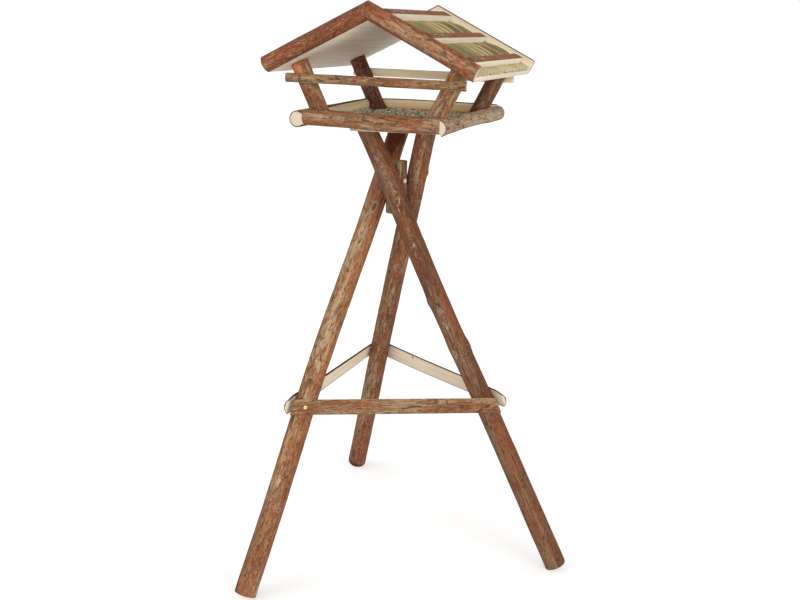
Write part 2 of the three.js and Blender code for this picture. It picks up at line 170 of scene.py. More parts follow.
def vector_of(tree, **parts):
    return add_wire(tree, "ShaderNodeCombineXYZ", parts)


def stepped(value, low, high, to_low=0.0, to_high=1.0):
    """Smooth step of a value from to_low at low to to_high at high."""
    inputs = {"Value": value, "From Min": low, "From Max": high, "To Min": to_low, "To Max": to_high}
    return add_wire(value.tree, "ShaderNodeMapRange", inputs, "Result", interpolation_type="SMOOTHSTEP")


def noise(vector, size, seed=0.0, detail=2.0, roughness=0.5, output=0):
    inputs = {"Vector": vector, "Scale": 1 / size, "Detail": detail, "Roughness": roughness, "W": seed}
    return add_wire(vector.tree, "ShaderNodeTexNoise", inputs, output, noise_dimensions="4D")


def mixed(factor, first, second):
    """Mix of two colours."""
    made = add_node(factor.tree, "ShaderNodeMix", data_type="RGBA")
    sockets = [socket for socket in made.inputs if socket.enabled]
    for socket, value in zip(sockets, (factor, first, second)):
        plug(socket, value)
    return Wire(next(socket for socket in made.outputs if socket.enabled))


def painted(colour, paint, value, low, high, strength=1.0):
    """Colour with a paint laid over it as a value steps from low to high."""
    return mixed(stepped(value, low, high, 0.0, strength), colour, paint)


def ramped(value, tones):
    """Colour ramp over a value, with its tones given as place: paint."""
    ramp = add_node(value.tree, "ShaderNodeValToRGB", {0: value})
    stops = ramp.color_ramp.elements
    stops.remove(stops[1])
    for place, paint in tones.items():
        stop = stops.new(place) if place else stops[0]
        stop.color = paint
    return Wire(ramp.outputs[0])


def shade(red, green, blue):
    """Scene colour of a paint given in 0 to 255 display values."""
    def linear(value):
        value /= 255
        return value / 12.92 if value <= 0.04045 else ((value + 0.055) / 1.055) ** 2.4
    return (linear(red), linear(green), linear(blue), 1)


# Materials


def new_material(name, roughness, specular, metal=0.0):
    material = bpy.data.materials.new(name)
    material.use_nodes = True
    shader = material.node_tree.nodes["Principled BSDF"]
    shader.inputs["Roughness"].default_value = roughness
    shader.inputs["Specular IOR Level"].default_value = specular
    shader.inputs["Metallic"].default_value = metal
    return material, material.node_tree


def coated(material, colour, height, distance, strength=1.0):
    """Gives a material its colour and its fine bump."""
    shader = material.node_tree.nodes["Principled BSDF"]
    inputs = {"Height": height, "Distance": distance, "Strength": strength}
    plug(shader.inputs["Base Color"], colour)
    plug(shader.inputs["Normal"], add_wire(material.node_tree, "ShaderNodeBump", inputs, "Normal"))
    return material


def attribute(tree, name, output="Fac"):
    return add_wire(tree, "ShaderNodeAttribute", output=output, attribute_name=name)


def stock_vector(tree, stretch):
    """Place within the piece of wood, with the length along the grain pressed together by stretch."""
    return attribute(tree, "stock", "Vector") * (1, 1, stretch)


BARK_RED = shade(148, 86, 52)
BARK_BROWN = shade(126, 84, 54)
BARK_GREY = shade(166, 138, 104)
BARK_DARK = shade(66, 36, 22)
BARK_SPECK = shade(214, 200, 176)
KNOT_RING = shade(148, 124, 102)
KNOT_HEART = shade(84, 58, 44)
RUSSET = shade(134, 78, 48)
# The shade mark is painted shade: a deep red-brown where a pole lies in shadow.
BARK_MARKS = {
    "bare": (shade(206, 128, 82), 0.8), "lichen": (shade(198, 184, 156), 0.5), "bud": (KNOT_HEART, 0.8),
    "shade": (shade(76, 28, 12), 0.92),
}


def seam_distance(vector, size, seed):
    """Distance to the nearest seam between plates of bark, as a share of their size."""
    inputs = {"Vector": vector, "Scale": 1 / size, "W": seed, "Randomness": 1.0}
    return add_wire(vector.tree, "ShaderNodeTexVoronoi", inputs, "Distance", voronoi_dimensions="4D",
                    feature="DISTANCE_TO_EDGE")


def lit_side_paint(tree):
    """Painted light: a larger share of pale grey bark on the outermost side of a pole, as if lit, and less of
    it towards the flanks.
    """
    outermost = split(reckoned("NORMALIZE", stock_vector(tree, 0)))[0]
    return stepped(outermost, 0.35, 1.0, -0.1, 0.05)


def bark_material(name, seed, grey_from=0.5, red=BARK_RED, brown=BARK_BROWN, grey=BARK_GREY):
    """Thin bark: red-brown with small grey-beige flakes, fine streaks, seams and pale specks."""
    material, tree = new_material(name, roughness=0.88, specular=0.25)
    wandering = noise(stock_vector(tree, 0.3), 0.012, seed + 21, output="Color") - NOISE_MIDDLE
    wandering = wandering * 0.006

    def grain(stretch):
        return stock_vector(tree, stretch) + wandering

    tones = noise(stock_vector(tree, 0.22), 0.02, seed + 3, detail=3, roughness=0.6)
    flakes = noise(grain(0.24), 0.0078, seed, detail=5, roughness=0.7)
    clouds = noise(stock_vector(tree, 0.2), 0.032, seed + 17, detail=2)
    streaks = noise(grain(0.09), 0.0028, seed + 7, detail=4, roughness=0.65)
    flecks = noise(stock_vector(tree, 0.4), 0.0022, seed + 11, detail=3, roughness=0.65)
    fine = noise(stock_vector(tree, 0.42), 0.0036, seed + 29, detail=4, roughness=0.8)
    seams = seam_distance(grain(0.12), 0.0064, seed)

    # The grey share takes in painted light on the outermost side of the pole.
    share = flakes + (clouds - 0.5) * 0.9 + lit_side_paint(tree)
    grey_share = stepped(share, grey_from - 0.05, grey_from + 0.1) * stepped(streaks, 0.3, 0.62, 0.4, 0.95)
    russet = attribute(tree, "russet") * stepped(flakes, 0.3, 0.7, 1.3, 0.55)
    seam_share = stepped(seams, 0.075, 0.03) * stepped(flakes, 0.44, 0.6, 0.15, 0.8)
    colour = painted(red, brown, tones, 0.36, 0.62)
    colour = mixed(grey_share, colour, grey)
    colour = painted(colour, RUSSET, russet, 0.2, 0.7, 0.72)
    colour = painted(colour, grey, streaks, 0.52, 0.7, 0.4)
    colour = painted(colour, BARK_DARK, streaks, 0.48, 0.3, 0.56)
    colour = mixed(seam_share, colour, BARK_DARK)
    colour = painted(colour, BARK_DARK, fine, 0.45, 0.37, 0.68)
    colour = painted(colour, grey, fine, 0.54, 0.62, 0.55)
    colour = painted(colour, BARK_DARK, flecks, 0.42, 0.3, 0.7)
    colour = painted(colour, BARK_SPECK, flecks, 0.66, 0.74, 0.7)
    colour = mixed(attribute(tree, "furrow") * 0.6, colour, BARK_DARK)

    wander = stepped(flakes, 0.3, 0.7, 0.55, 1.3)
    specks = stepped(fine, 0.5, 0.6)
    # Lays the marks on the bark; the shade mark is painted shade.
    for channel, (paint, strength) in BARK_MARKS.items():
        mark = attribute(tree, channel) * (specks if channel == "lichen" else wander)
        colour = painted(colour, paint, mark, 0.25, 0.7, strength)
    knot = attribute(tree, "knot")
    colour = painted(colour, KNOT_RING, knot, 0.25, 0.4, 0.85)
    colour = painted(colour, KNOT_HEART, knot, 0.6, 0.75, 0.85)
    height = streaks + flecks * 0.6 + stepped(seams, 0.0, 0.14) * 0.5
    return coated(material, colour, height, 0.0008, 0.9)


PALE_LIGHT = shade(232, 217, 190)
PALE_DARK = shade(214, 194, 160)
PALE_STAIN = shade(150, 96, 52)
FOOT_BAND_TONE = shade(206, 152, 88)
FOOT_BAND_WANDER = 0.006
FOOT_BAND_FADE = 0.006
FOOT_LINE_WIDTH = 0.0025


def planed_material(name, seed, light=PALE_LIGHT, dark=PALE_DARK, stain=0.15, line=0.3, foot_band=None):
    """Planed or sawn softwood with soft growth lines; the last argument is the height across it of a brown
    band, with a darker line, along its foot.
    """
    material, tree = new_material(name, roughness=0.72, specular=0.3)
    lines = noise(stock_vector(tree, 0.035), 0.006, seed, detail=3)
    fibres = noise(stock_vector(tree, 0.02), 0.0009, seed + 5)
    clouds = noise(stock_vector(tree, 0.25), 0.05, seed + 9)
    colour = painted(light, dark, lines, 0.34, 0.64)
    colour = painted(colour, dark, fibres, 0.5, 0.25, line)
    colour = painted(colour, PALE_STAIN, clouds, 0.5, 0.75, stain)
    colour = painted(colour, KNOT_HEART, attribute(tree, "knot"), 0.2, 0.6, 0.9)
    if foot_band is not None:
        # A brown band and a darker brown line along the foot of the face, their edge wandering with the
        # growth lines.
        across = split(attribute(tree, "stock", "Vector"))[1] + (lines - 0.5) * FOOT_BAND_WANDER
        colour = painted(colour, FOOT_BAND_TONE, across, foot_band + FOOT_BAND_FADE, foot_band, 0.5)
        colour = painted(colour, PALE_STAIN, across, foot_band, foot_band - FOOT_LINE_WIDTH, 0.7)
    return coated(material, colour, fibres, 0.00025, 0.6)


RING_WIDTH = 0.0017
PORE = shade(178, 148, 110)


def end_grain_material(name, light=shade(216, 201, 176), dark=shade(192, 169, 136)):
    """Sawn end: growth rings round the pith, with pores."""
    material, tree = new_material(name, roughness=0.8, specular=0.2)
    flat = stock_vector(tree, 0)
    distance = add_wire(tree, "ShaderNodeVectorMath", {0: flat}, "Value", operation="LENGTH")
    rings = reckoned("SINE", distance * (2 * pi / RING_WIDTH) + noise(flat, 0.012, 1.0) * 9.0)
    pores = noise(flat, 0.0008, 2.0, detail=3)
    colour = painted(light, dark, rings, -0.2, 0.9, 0.55)
    colour = painted(colour, PORE, pores, 0.5, 0.3, 0.5)
    return coated(material, colour, pores, 0.0003, 0.8)


def bark_edge_material(name):
    """Cut edge of the bark, a dark line round sawn faces."""
    material, tree = new_material(name, roughness=0.9, specular=0.15)
    grain = noise(stock_vector(tree, 0.1), 0.004, 4.0, detail=3)
    colour = painted(shade(44, 32, 26), shade(78, 54, 40), grain, 0.35, 0.65)
    return coated(material, colour, grain, 0.0003)


REED_TONES = {
    0.0: shade(96, 76, 40), 0.14: shade(182, 160, 104), 0.3: shade(118, 116, 62), 0.44: shade(196, 176, 122),
    0.58: shade(84, 70, 38), 0.72: shade(160, 142, 88), 0.86: shade(106, 112, 66), 1.0: shade(206, 184, 132),
}
REED_STREAK = shade(96, 78, 42)
REED_BLOTCH = shade(112, 92, 54)
REED_LOWER_DUST_AND_SHADE = shade(62, 50, 26)
REED_FLANK_DUST_AND_SHADE = shade(84, 64, 34)
REED_TIP = shade(226, 212, 174)
REED_CUT = shade(232, 218, 178)
REED_WALL = shade(120, 100, 62)


def reed_material(name, end=False):
    """Dry reed: each stalk its own straw, olive or green tone, with darker blotches and streaks."""
    material, tree = new_material(name, roughness=0.55, specular=0.35)
    eave = attribute(tree, "eave")
    streaks = noise(stock_vector(tree, 0.04), 0.0012, 5.0, detail=3)
    blotches = noise(stock_vector(tree, 0.3), 0.018, 8.0, detail=3)
    # The lower layer of stalks, seen between the upper ones, is painted dark: partly dust, partly painted
    # shade; less so towards the eave.
    deep = (1.0 - attribute(tree, "raised")) * stepped(eave, 0.0, 1.0, 0.85, 0.5)
    # The lower flank of each stalk is painted darker: partly dust in its grooves, partly painted shade.
    flank = stepped(attribute(tree, "flank"), -0.62, 0.1, 0.0, 0.92) * stepped(eave, 0.0, 1.0, 1.0, 0.7)
    colour = painted(ramped(attribute(tree, "stalk"), REED_TONES), REED_STREAK, streaks, 0.5, 0.25, 0.5)
    colour = painted(colour, REED_BLOTCH, blotches, 0.56, 0.72, 0.6)
    colour = mixed(deep, colour, REED_LOWER_DUST_AND_SHADE)
    colour = mixed(flank, colour, REED_FLANK_DUST_AND_SHADE)
    colour = mixed(eave * 0.42, colour, REED_TIP)
    if end:
        rim = noise(stock_vector(tree, 1.0), 0.0016, 6.0)
        colour = painted(REED_CUT, REED_WALL, rim, 0.45, 0.65, 0.7)
    return coated(material, colour, streaks, 0.0002, 0.7)


SEED_SPACING = 0.006
SEED_TONES = {
    0.0: shade(52, 46, 38), 0.2: shade(150, 150, 128), 0.45: shade(222, 212, 178), 0.7: shade(128, 134, 112),
    0.86: shade(238, 220, 182), 1.0: shade(72, 58, 42),
}
SEED_GRAIN = shade(64, 62, 48)
SEED_GAP_SHADE = shade(34, 28, 22)


def seed_material(name):
    """Loose seed and husks in grey-green, straw and near black."""
    material, tree = new_material(name, roughness=0.6, specular=0.3)
    place = add_wire(tree, "ShaderNodeTexCoord", output="Object")
    lower = add_node(tree, "ShaderNodeTexVoronoi", {"Vector": place, "Scale": 1 / SEED_SPACING})
    own = add_wire(tree, "ShaderNodeSeparateColor", {0: Wire(lower.outputs["Color"])})
    bed = attribute(tree, "bed")
    grains = noise(place, 0.0016, 3.0, detail=3)
    # Painted shade on the bed between the seeds.
    between = stepped(Wire(lower.outputs["Distance"]), 0.28, 0.6, 0.3, 0.95) * bed
    colour = ramped(attribute(tree, "kind") + own * bed, SEED_TONES)
    colour = painted(colour, SEED_GRAIN, grains, 0.5, 0.3, 0.5)
    colour = mixed(between, colour, SEED_GAP_SHADE)
    return coated(material, colour, grains, 0.0004)


def screw_material(name, bright, worn, roughness, metal=1.0):
    """Screw steel with small worn spots."""
    material, tree = new_material(name, roughness, 0.5, metal)
    place = add_wire(tree, "ShaderNodeTexCoord", output="Object")
    wear = noise(place, 0.0015, 2.0, detail=3)
    return coated(material, painted(bright, worn, wear, 0.35, 0.65), wear, 0.0001, 0.5)


# Geometry Nodes trees


def geometry_tree(name, **sockets):
    """A tree with a geometry input and output, and more inputs, given as kind=names."""
    tree = bpy.data.node_groups.new(name, "GeometryNodeTree")
    for direction in ("INPUT", "OUTPUT"):
        tree.interface.new_socket("Geometry", in_out=direction, socket_type="NodeSocketGeometry")
    for kind, labels in sockets.items():
        for label in labels:
            tree.interface.new_socket(label, in_out="INPUT", socket_type=f"NodeSocket{kind}")
    given = {socket.name: Wire(socket) for socket in tree.nodes.new("NodeGroupInput").outputs if socket.name}
    return tree, given, tree.nodes.new("NodeGroupOutput").inputs[0]


def named(tree, name, kind="FLOAT"):
    return add_wire(tree, "GeometryNodeInputNamedAttribute", {"Name": name}, "Attribute", data_type=kind)


def stored(geometry, name, value, kind="FLOAT", domain="POINT"):
    inputs = {"Geometry": geometry, "Name": name, "Value": value}
    return add_wire(geometry.tree, "GeometryNodeStoreNamedAttribute", inputs, "Geometry", data_type=kind,
                    domain=domain)


def moved(geometry, offset):
    return add_wire(geometry.tree, "GeometryNodeSetPosition", {"Geometry": geometry, "Offset": offset})


def together(*parts):
    join = add_node(parts[0].tree, "GeometryNodeJoinGeometry")
    for part in parts:
        plug(join.inputs[0], part)
    return Wire(join.outputs[0])


def realised(geometry):
    return add_wire(geometry.tree, "GeometryNodeRealizeInstances", {"Geometry": geometry})


def above(value, limit):
    return add_wire(value.tree, "FunctionNodeCompare", {0: value, 1: limit}, data_type="FLOAT",
                    operation="GREATER_THAN")


def random_value(seed, low, high, kind="FLOAT"):
    made = add_node(seed.tree, "FunctionNodeRandomValue", {"Seed": seed}, data_type=kind)
    sockets = [socket for socket in made.inputs if socket.enabled]
    sockets[0].default_value = low
    sockets[1].default_value = high
    return Wire(next(socket for socket in made.outputs if socket.enabled))


def skinned(geometry, material, selection=True):
    inputs = {"Geometry": geometry, "Material": material, "Selection": selection}
    return add_wire(geometry.tree, "GeometryNodeSetMaterial", inputs)


def relief_tree():
    """Raises bark out of a smooth piece of stock: lumps, ridges along the grain and thin furrows."""
    tree, given, result = geometry_tree(
        "Bark relief", Material=("Bark",),
        Float=("Lump height", "Lump size", "Ridge height", "Ridge size", "Furrow depth", "Seed"),
    )
    seed = given["Seed"]
    stock = named(tree, "stock", "FLOAT_VECTOR")
    long_stock = stock * (1, 1, 0.3)
    thin_stock = stock * (1, 1, 0.1)
    lump = noise(long_stock, given["Lump size"], seed, 1.0) - 0.5
    ridge = noise(thin_stock, given["Ridge size"], seed + 5.0, 3.0) - 0.5
    line = reckoned("ABSOLUTE", noise(thin_stock, given["Ridge size"], seed + 9.0, 1.0) - 0.5)
    broken = stepped(noise(long_stock, given["Lump size"], seed + 13.0, 2.0), 0.5, 0.6)
    furrow = stepped(line, 0.05, 0.0) * broken
    height = lump * given["Lump height"] + ridge * given["Ridge height"] - furrow * given["Furrow depth"]
    height = height * named(tree, "bark")
    furrowed = stored(given["Geometry"], "furrow", furrow)
    raised = moved(furrowed, add_wire(tree, "GeometryNodeInputNormal") * height)
    plug(result, skinned(realised(raised), given["Bark"], named(tree, "bark_face", "BOOLEAN")))
    return tree


def reed_tree():
    """Two layers of reed stalks side by side, along x from the ridge to the eave."""
    battens = ("Ridge batten", "Middle batten", "Lower batten")
    tree, given, result = geometry_tree(
        "Reed thatch", Int=("Stalk count", "Seed"), Material=("Stalk", "Stalk end"),
        Float=("Slope length", "Eave width", "Stalk width", "Layer height", "Wander", "Bulge", "Unevenness")
        + battens,
    )
    radius = given["Stalk width"] * 0.5
    layers = []
    for layer in (0.0, 1.0):
        height = radius + given["Layer height"] * layer
        side = given["Eave width"] * 0.5 - given["Stalk width"] * (0.5 + 0.5 * layer)
        line = add_wire(tree, "GeometryNodeMeshLine", {
            "Count": given["Stalk count"] - layer, "Start Location": vector_of(tree, Y=side * -1.0, Z=height),
            "Offset": vector_of(tree, Y=side, Z=height),
        }, mode="END_POINTS")
        layers.append(stored(line, "raised", layer))
    far_end = vector_of(tree, X=given["Slope length"])
    stalk = add_wire(tree, "GeometryNodeCurvePrimitiveLine", {"End": far_end})
    stalk = add_wire(tree, "GeometryNodeResampleCurve", {"Curve": stalk, "Count": 36})
    placed = add_wire(tree, "GeometryNodeInstanceOnPoints", {"Points": together(*layers), "Instance": stalk})
    toned = stored(placed, "stalk", random_value(given["Seed"], 0.0, 1.0), domain="INSTANCE")

    tone = named(tree, "stalk")
    place = add_wire(tree, "GeometryNodeInputPosition")
    sample = place + vector_of(tree, Z=tone * 0.03)
    drift = add_wire(tree, "ShaderNodeTexNoise", {"Vector": sample, "Scale": 11.0, "Detail": 1.0}, "Color")
    drift = (drift - NOISE_MIDDLE) * (0.0, 1.0, 0.35)
    along = split(place)[0]
    trim = (tone - 1.0) * 0.02
    near = 1.0
    for label in battens:
        near = reckoned("MINIMUM", reckoned("ABSOLUTE", along - given[label]), near)
    uneven = reckoned("FRACT", tone * 13.0) * given["Unevenness"]
    rise = stepped(near, 0.008, 0.034) * (given["Bulge"] + uneven)
    rise = rise * stepped(along - given["Lower batten"], 0.0, 0.01, 1.0, 0.2)
    bent = moved(realised(toned), drift * given["Wander"] + vector_of(tree, X=along * trim, Z=rise))
    bent = stored(bent, "middle_height", split(add_wire(tree, "GeometryNodeInputPosition"))[2])

    thickness = reckoned("FRACT", tone * 7.0) * 0.4 + 0.42
    thickness = reckoned("MAXIMUM", thickness, 1.0 - named(tree, "raised"))
    profile = add_wire(tree, "GeometryNodeCurvePrimitiveCircle", {"Resolution": 8, "Radius": radius})
    solid = add_wire(tree, "GeometryNodeCurveToMesh", {
        "Curve": bent, "Profile Curve": profile, "Scale": thickness, "Fill Caps": True,
    })
    x, y, z = split(add_wire(tree, "GeometryNodeInputPosition"))
    marked = stored(solid, "stock", vector_of(tree, X=y, Y=z, Z=x), "FLOAT_VECTOR")
    marked = stored(marked, "flank", (named(tree, "middle_height") - z) / radius)
    marked = stored(marked, "eave", stepped(given["Slope length"] - x, 0.03, 0.008))
    facing = reckoned("ABSOLUTE", split(add_wire(tree, "GeometryNodeInputNormal"))[0])
    real = realised(skinned(marked, given["Stalk"]))
    plug(result, skinned(real, given["Stalk end"], above(facing, 0.85)))
    return tree


def seed_tree():
    """Scatters seeds at all angles over the upward faces of the bed."""
    tree, given, result = geometry_tree(
        "Loose seed", Float=("Seed length", "Seeds per area"), Int=("Seed",), Material=("Skin",),
    )
    seed = given["Seed"]
    upward = split(add_wire(tree, "GeometryNodeInputNormal"))[2]
    points = add_wire(tree, "GeometryNodeDistributePointsOnFaces", {
        "Mesh": given["Geometry"], "Selection": above(upward, 0.7), "Density": given["Seeds per area"],
        "Seed": seed,
    }, distribute_method="RANDOM")
    grain = add_wire(tree, "GeometryNodeMeshUVSphere", {
        "Segments": 6, "Rings": 4, "Radius": given["Seed length"] * 0.5,
    })
    squashed = add_wire(tree, "GeometryNodeTransform", {"Geometry": grain, "Scale": (1.0, 0.55, 0.42)})
    placed = add_wire(tree, "GeometryNodeInstanceOnPoints", {
        "Points": points, "Instance": squashed, "Scale": random_value(seed + 2.0, 0.55, 1.15),
        "Rotation": random_value(seed + 1.0, (-0.5, -0.5, 0.0), (0.5, 0.5, 2 * pi), "FLOAT_VECTOR"),
    })
    seeds = stored(placed, "kind", random_value(seed + 3.0, 0.0, 1.0), domain="INSTANCE")
    both = together(stored(given["Geometry"], "bed", 1.0), seeds)
    plug(result, skinned(realised(both), given["Skin"]))
    return tree


def screw_tree():
    """Countersunk wood screw along -z, with its head's top at z = 0, a thread and a cross recess."""
    tree, given, result = geometry_tree(
        "Wood screw", Float=("Length", "Shank width", "Head width", "Thread pitch"), Material=("Steel",),
    )
    shank = given["Shank width"] * 0.5
    head = given["Head width"] * 0.5
    rim = given["Head width"] * 0.06
    cone = given["Head width"] * 0.46
    tip = given["Shank width"] * 1.6
    body = given["Length"] - cone - tip
    down = cone * -1.0
    low = down - body
    threaded = body * 0.75

    def lowered(geometry, z):
        inputs = {"Geometry": geometry, "Translation": vector_of(tree, Z=z)}
        return add_wire(tree, "GeometryNodeTransform", inputs)

    def tapered(top, bottom, depth, z):
        inputs = {"Vertices": 24, "Radius Top": top, "Radius Bottom": bottom, "Depth": depth}
        return lowered(add_wire(tree, "GeometryNodeMeshCone", inputs), z)

    recess = add_node(tree, "GeometryNodeMeshBoolean", operation="DIFFERENCE", solver="EXACT")
    plug(recess.inputs[0], tapered(head, shank, cone, down))
    for long_side, short_side in ((1.1, 0.24), (0.24, 1.1)):
        size = vector_of(tree, X=head * long_side, Y=head * short_side, Z=cone * 0.9)
        plug(recess.inputs[1], add_wire(tree, "GeometryNodeMeshCube", {"Size": size}))
    spiral = add_wire(tree, "GeometryNodeCurveSpiral", {
        "Resolution": 14, "Rotations": threaded / given["Thread pitch"], "Start Radius": shank,
        "End Radius": shank, "Height": threaded,
    })
    ridge = add_wire(tree, "GeometryNodeCurvePrimitiveCircle", {"Resolution": 3, "Radius": rim})
    thread = {"Curve": spiral, "Profile Curve": ridge, "Fill Caps": True}
    parts = together(
        Wire(recess.outputs[0]), tapered(shank, shank, body, low), tapered(shank, 0.0, tip, low - tip),
        lowered(add_wire(tree, "GeometryNodeCurveToMesh", thread), low),
    )
    plug(result, skinned(realised(parts), given["Steel"]))
    return tree


def new_object(name, mesh):
    made = bpy.data.objects.new(name, mesh)
    bpy.context.scene.collection.objects.link(made)
    return made


def plain_mesh(carrier):
    """Mesh of a carrier with its modifiers worked in, which are then removed with it."""
    graph = bpy.context.evaluated_depsgraph_get()
    worked = carrier.evaluated_get(graph)
    mesh = bpy.data.meshes.new_from_object(worked, preserve_all_data_layers=True, depsgraph=graph)
    carrier.modifiers.clear()
    bpy.data.objects.remove(carrier)
    return mesh


def grown(tree, values, base=None):
    """Plain mesh that a tree makes, from a base mesh where it needs one."""
    carrier = new_object("carrier", base or bpy.data.meshes.new("carrier"))
    modifier = carrier.modifiers.new(tree.name, "NODES")
    modifier.node_group = tree
    for item in tree.interface.items_tree:
        if item.item_type == "SOCKET" and item.in_out == "INPUT" and item.name in values:
            modifier[item.identifier] = values[item.name]
    return plain_mesh(carrier)


# Reading the frame

CIRCLE_SLACK = 0.0015
END_SLACK = 0.002


def corners_of(node):
    mesh = NODES[node].data
    flat = np.empty(len(mesh.vertices) * 3)
    mesh.vertices.foreach_get("co", flat)
    return flat.reshape(-1, 3)


def extent(node, axis):
    along = corners_of(node) @ np.array(axis)
    return float(along.min()), float(along.max())


def middle(node, axis):
    return sum(extent(node, axis)) / 2


def slope_normal(node):
    """Upward normal of the largest face of a roof panel."""
    face = max(NODES[node].data.polygons, key=lambda polygon: polygon.area)
    normal = face.normal.copy()
    return normal if normal.z > 0 else -normal


def circle_through(points):
    """Centre and radius of the circle that fits points best, without those that lie off it."""
    for _ in range(2):
        matrix = np.column_stack([2 * points, np.ones(len(points))])
        solution = np.linalg.lstsq(matrix, (points ** 2).sum(1), rcond=None)[0]
        centre = solution[:2]
        distance = np.linalg.norm(points - centre, axis=1)
        radius = float(np.median(distance))
        points = points[np.abs(distance - radius) < CIRCLE_SLACK]
    return centre, radius


# Stock: sections, sticks and swept meshes

KINDS = ("bark", "planed", "end", "rim")


class Section:
    """Closed outline, counter-clockwise round w: points, the kind of each edge, and where bark grows."""

    def __init__(self, parts, step, pith=(0.0, 0.0)):
        points = []
        self.kinds = []
        for kind, line in parts:
            line = np.array(line, float)
            if len(line) == 2:
                count = max(1, round(np.linalg.norm(line[1] - line[0]) / step))
                line = line[0] + (line[1] - line[0]) * np.linspace(0, 1, count + 1)[:, None]
            points.extend(line[:-1])
            self.kinds.extend([kind] * (len(line) - 1))
        self.points = np.array(points)
        self.pith = np.array(pith)
        bark = np.array([kind == "bark" for kind in self.kinds])
        inside = bark & np.roll(bark, 1)
        self.bark = np.ones(len(points))
        if not inside.all():
            edges = self.points[~inside]
            gaps = np.linalg.norm(self.points[:, None] - edges[None], axis=2).min(1)
            self.bark = np.where(inside, np.clip(gaps / BARK_FADE, 0, 1), 0)


def arc(centre, radius, start, end, step):
    count = max(6, round(abs(end - start) * radius / step))
    angles = np.linspace(start, end, count + 1)
    return [(centre + radius * cos(a), radius * sin(a)) for a in angles]


def round_section(radius, step=FINE_STEP):
    return Section([("bark", arc(0, radius, 0, 2 * pi, step))], step)


def split_section(thickness, width, rims=(BARK_RIM, BARK_RIM), step=FINE_STEP):
    """Split pole: flat at u = 0, round bark beyond it, its cut edge this wide at low and high v."""
    half = width / 2
    radius = (thickness ** 2 + half ** 2) / (2 * thickness) if thickness < half else half
    centre = thickness - radius
    opening = np.arccos(np.clip(-centre / radius, -1, 1))
    corner = radius * sin(opening)
    parts = [
        ("bark", arc(centre, radius, -opening, opening, step)),
        ("rim", [(0, corner), (0, corner - rims[1])]),
        ("planed", [(0, corner - rims[1]), (0, rims[0] - corner)]),
        ("rim", [(0, rims[0] - corner), (0, -corner)]),
    ]
    return Section(parts, step, (centre, 0))


def slab_section(thickness, width, crown, waney=False, rim=SLAB_RIM, step=FINE_STEP):
    """Sawn slab: flat at u = 0, a crown of bark over its far side, and sawn or waney edges."""
    half = width / 2
    shoulder = thickness - crown
    turns = np.linspace(-1, 1, max(8, round(width / step)) + 1)
    bark = ("bark", [(shoulder + crown * (1 - t * t) ** 0.8, half * t) for t in turns])
    if waney:
        parts = [("bark", [(0, -half), (shoulder, -half)]), bark, ("bark", [(shoulder, half), (0, half)])]
    else:
        edge = shoulder - rim
        parts = [
            ("planed", [(0, -half), (edge, -half)]), ("rim", [(edge, -half), (shoulder, -half)]), bark,
            ("rim", [(shoulder, half), (edge, half)]), ("planed", [(edge, half), (0, half)]),
        ]
    parts.append(("planed", [(0, half), (0, -half)]))
    return Section(parts, step, (-width, 0))


class Stick:
    """Straight or gently bent line that a section follows between two end planes."""

    def __init__(self, origin, out, along, low, high, out_high=None, bend=None):
        self.origin = np.array(origin)
        self.out = np.array(out)
        self.out_high = np.array(out if out_high is None else out_high)
        self.along = np.array(along)
        self.low = [np.array(value) for value in low]
        self.high = [np.array(value) for value in high]
        self.bend = bend

    def length(self):
        return abs(float((self.high[0] - self.low[0]) @ self.along))

    def place(self, share, u, v):
        out = self.out + (self.out_high - self.out) * share[..., None]
        out = out / np.linalg.norm(out, axis=-1, keepdims=True)
        across = np.cross(self.along, out)
        if self.bend is not None:
            bend_u, bend_v = self.bend(share)
            u = u + bend_u
            v = v + bend_v
        foot = self.origin + out * u[..., None] + across * v[..., None]
        ends = [((point - foot) @ normal) / (self.along @ normal) for point, normal in (self.low, self.high)]
        reach = ends[0] + (ends[1] - ends[0]) * share
        return foot + self.along * reach[..., None]


# A patch on the bark: channel, share along, angle round in degrees, half length, half width and height
Mark = namedtuple("Mark", "channel share angle length width height", defaults=(0.0,))


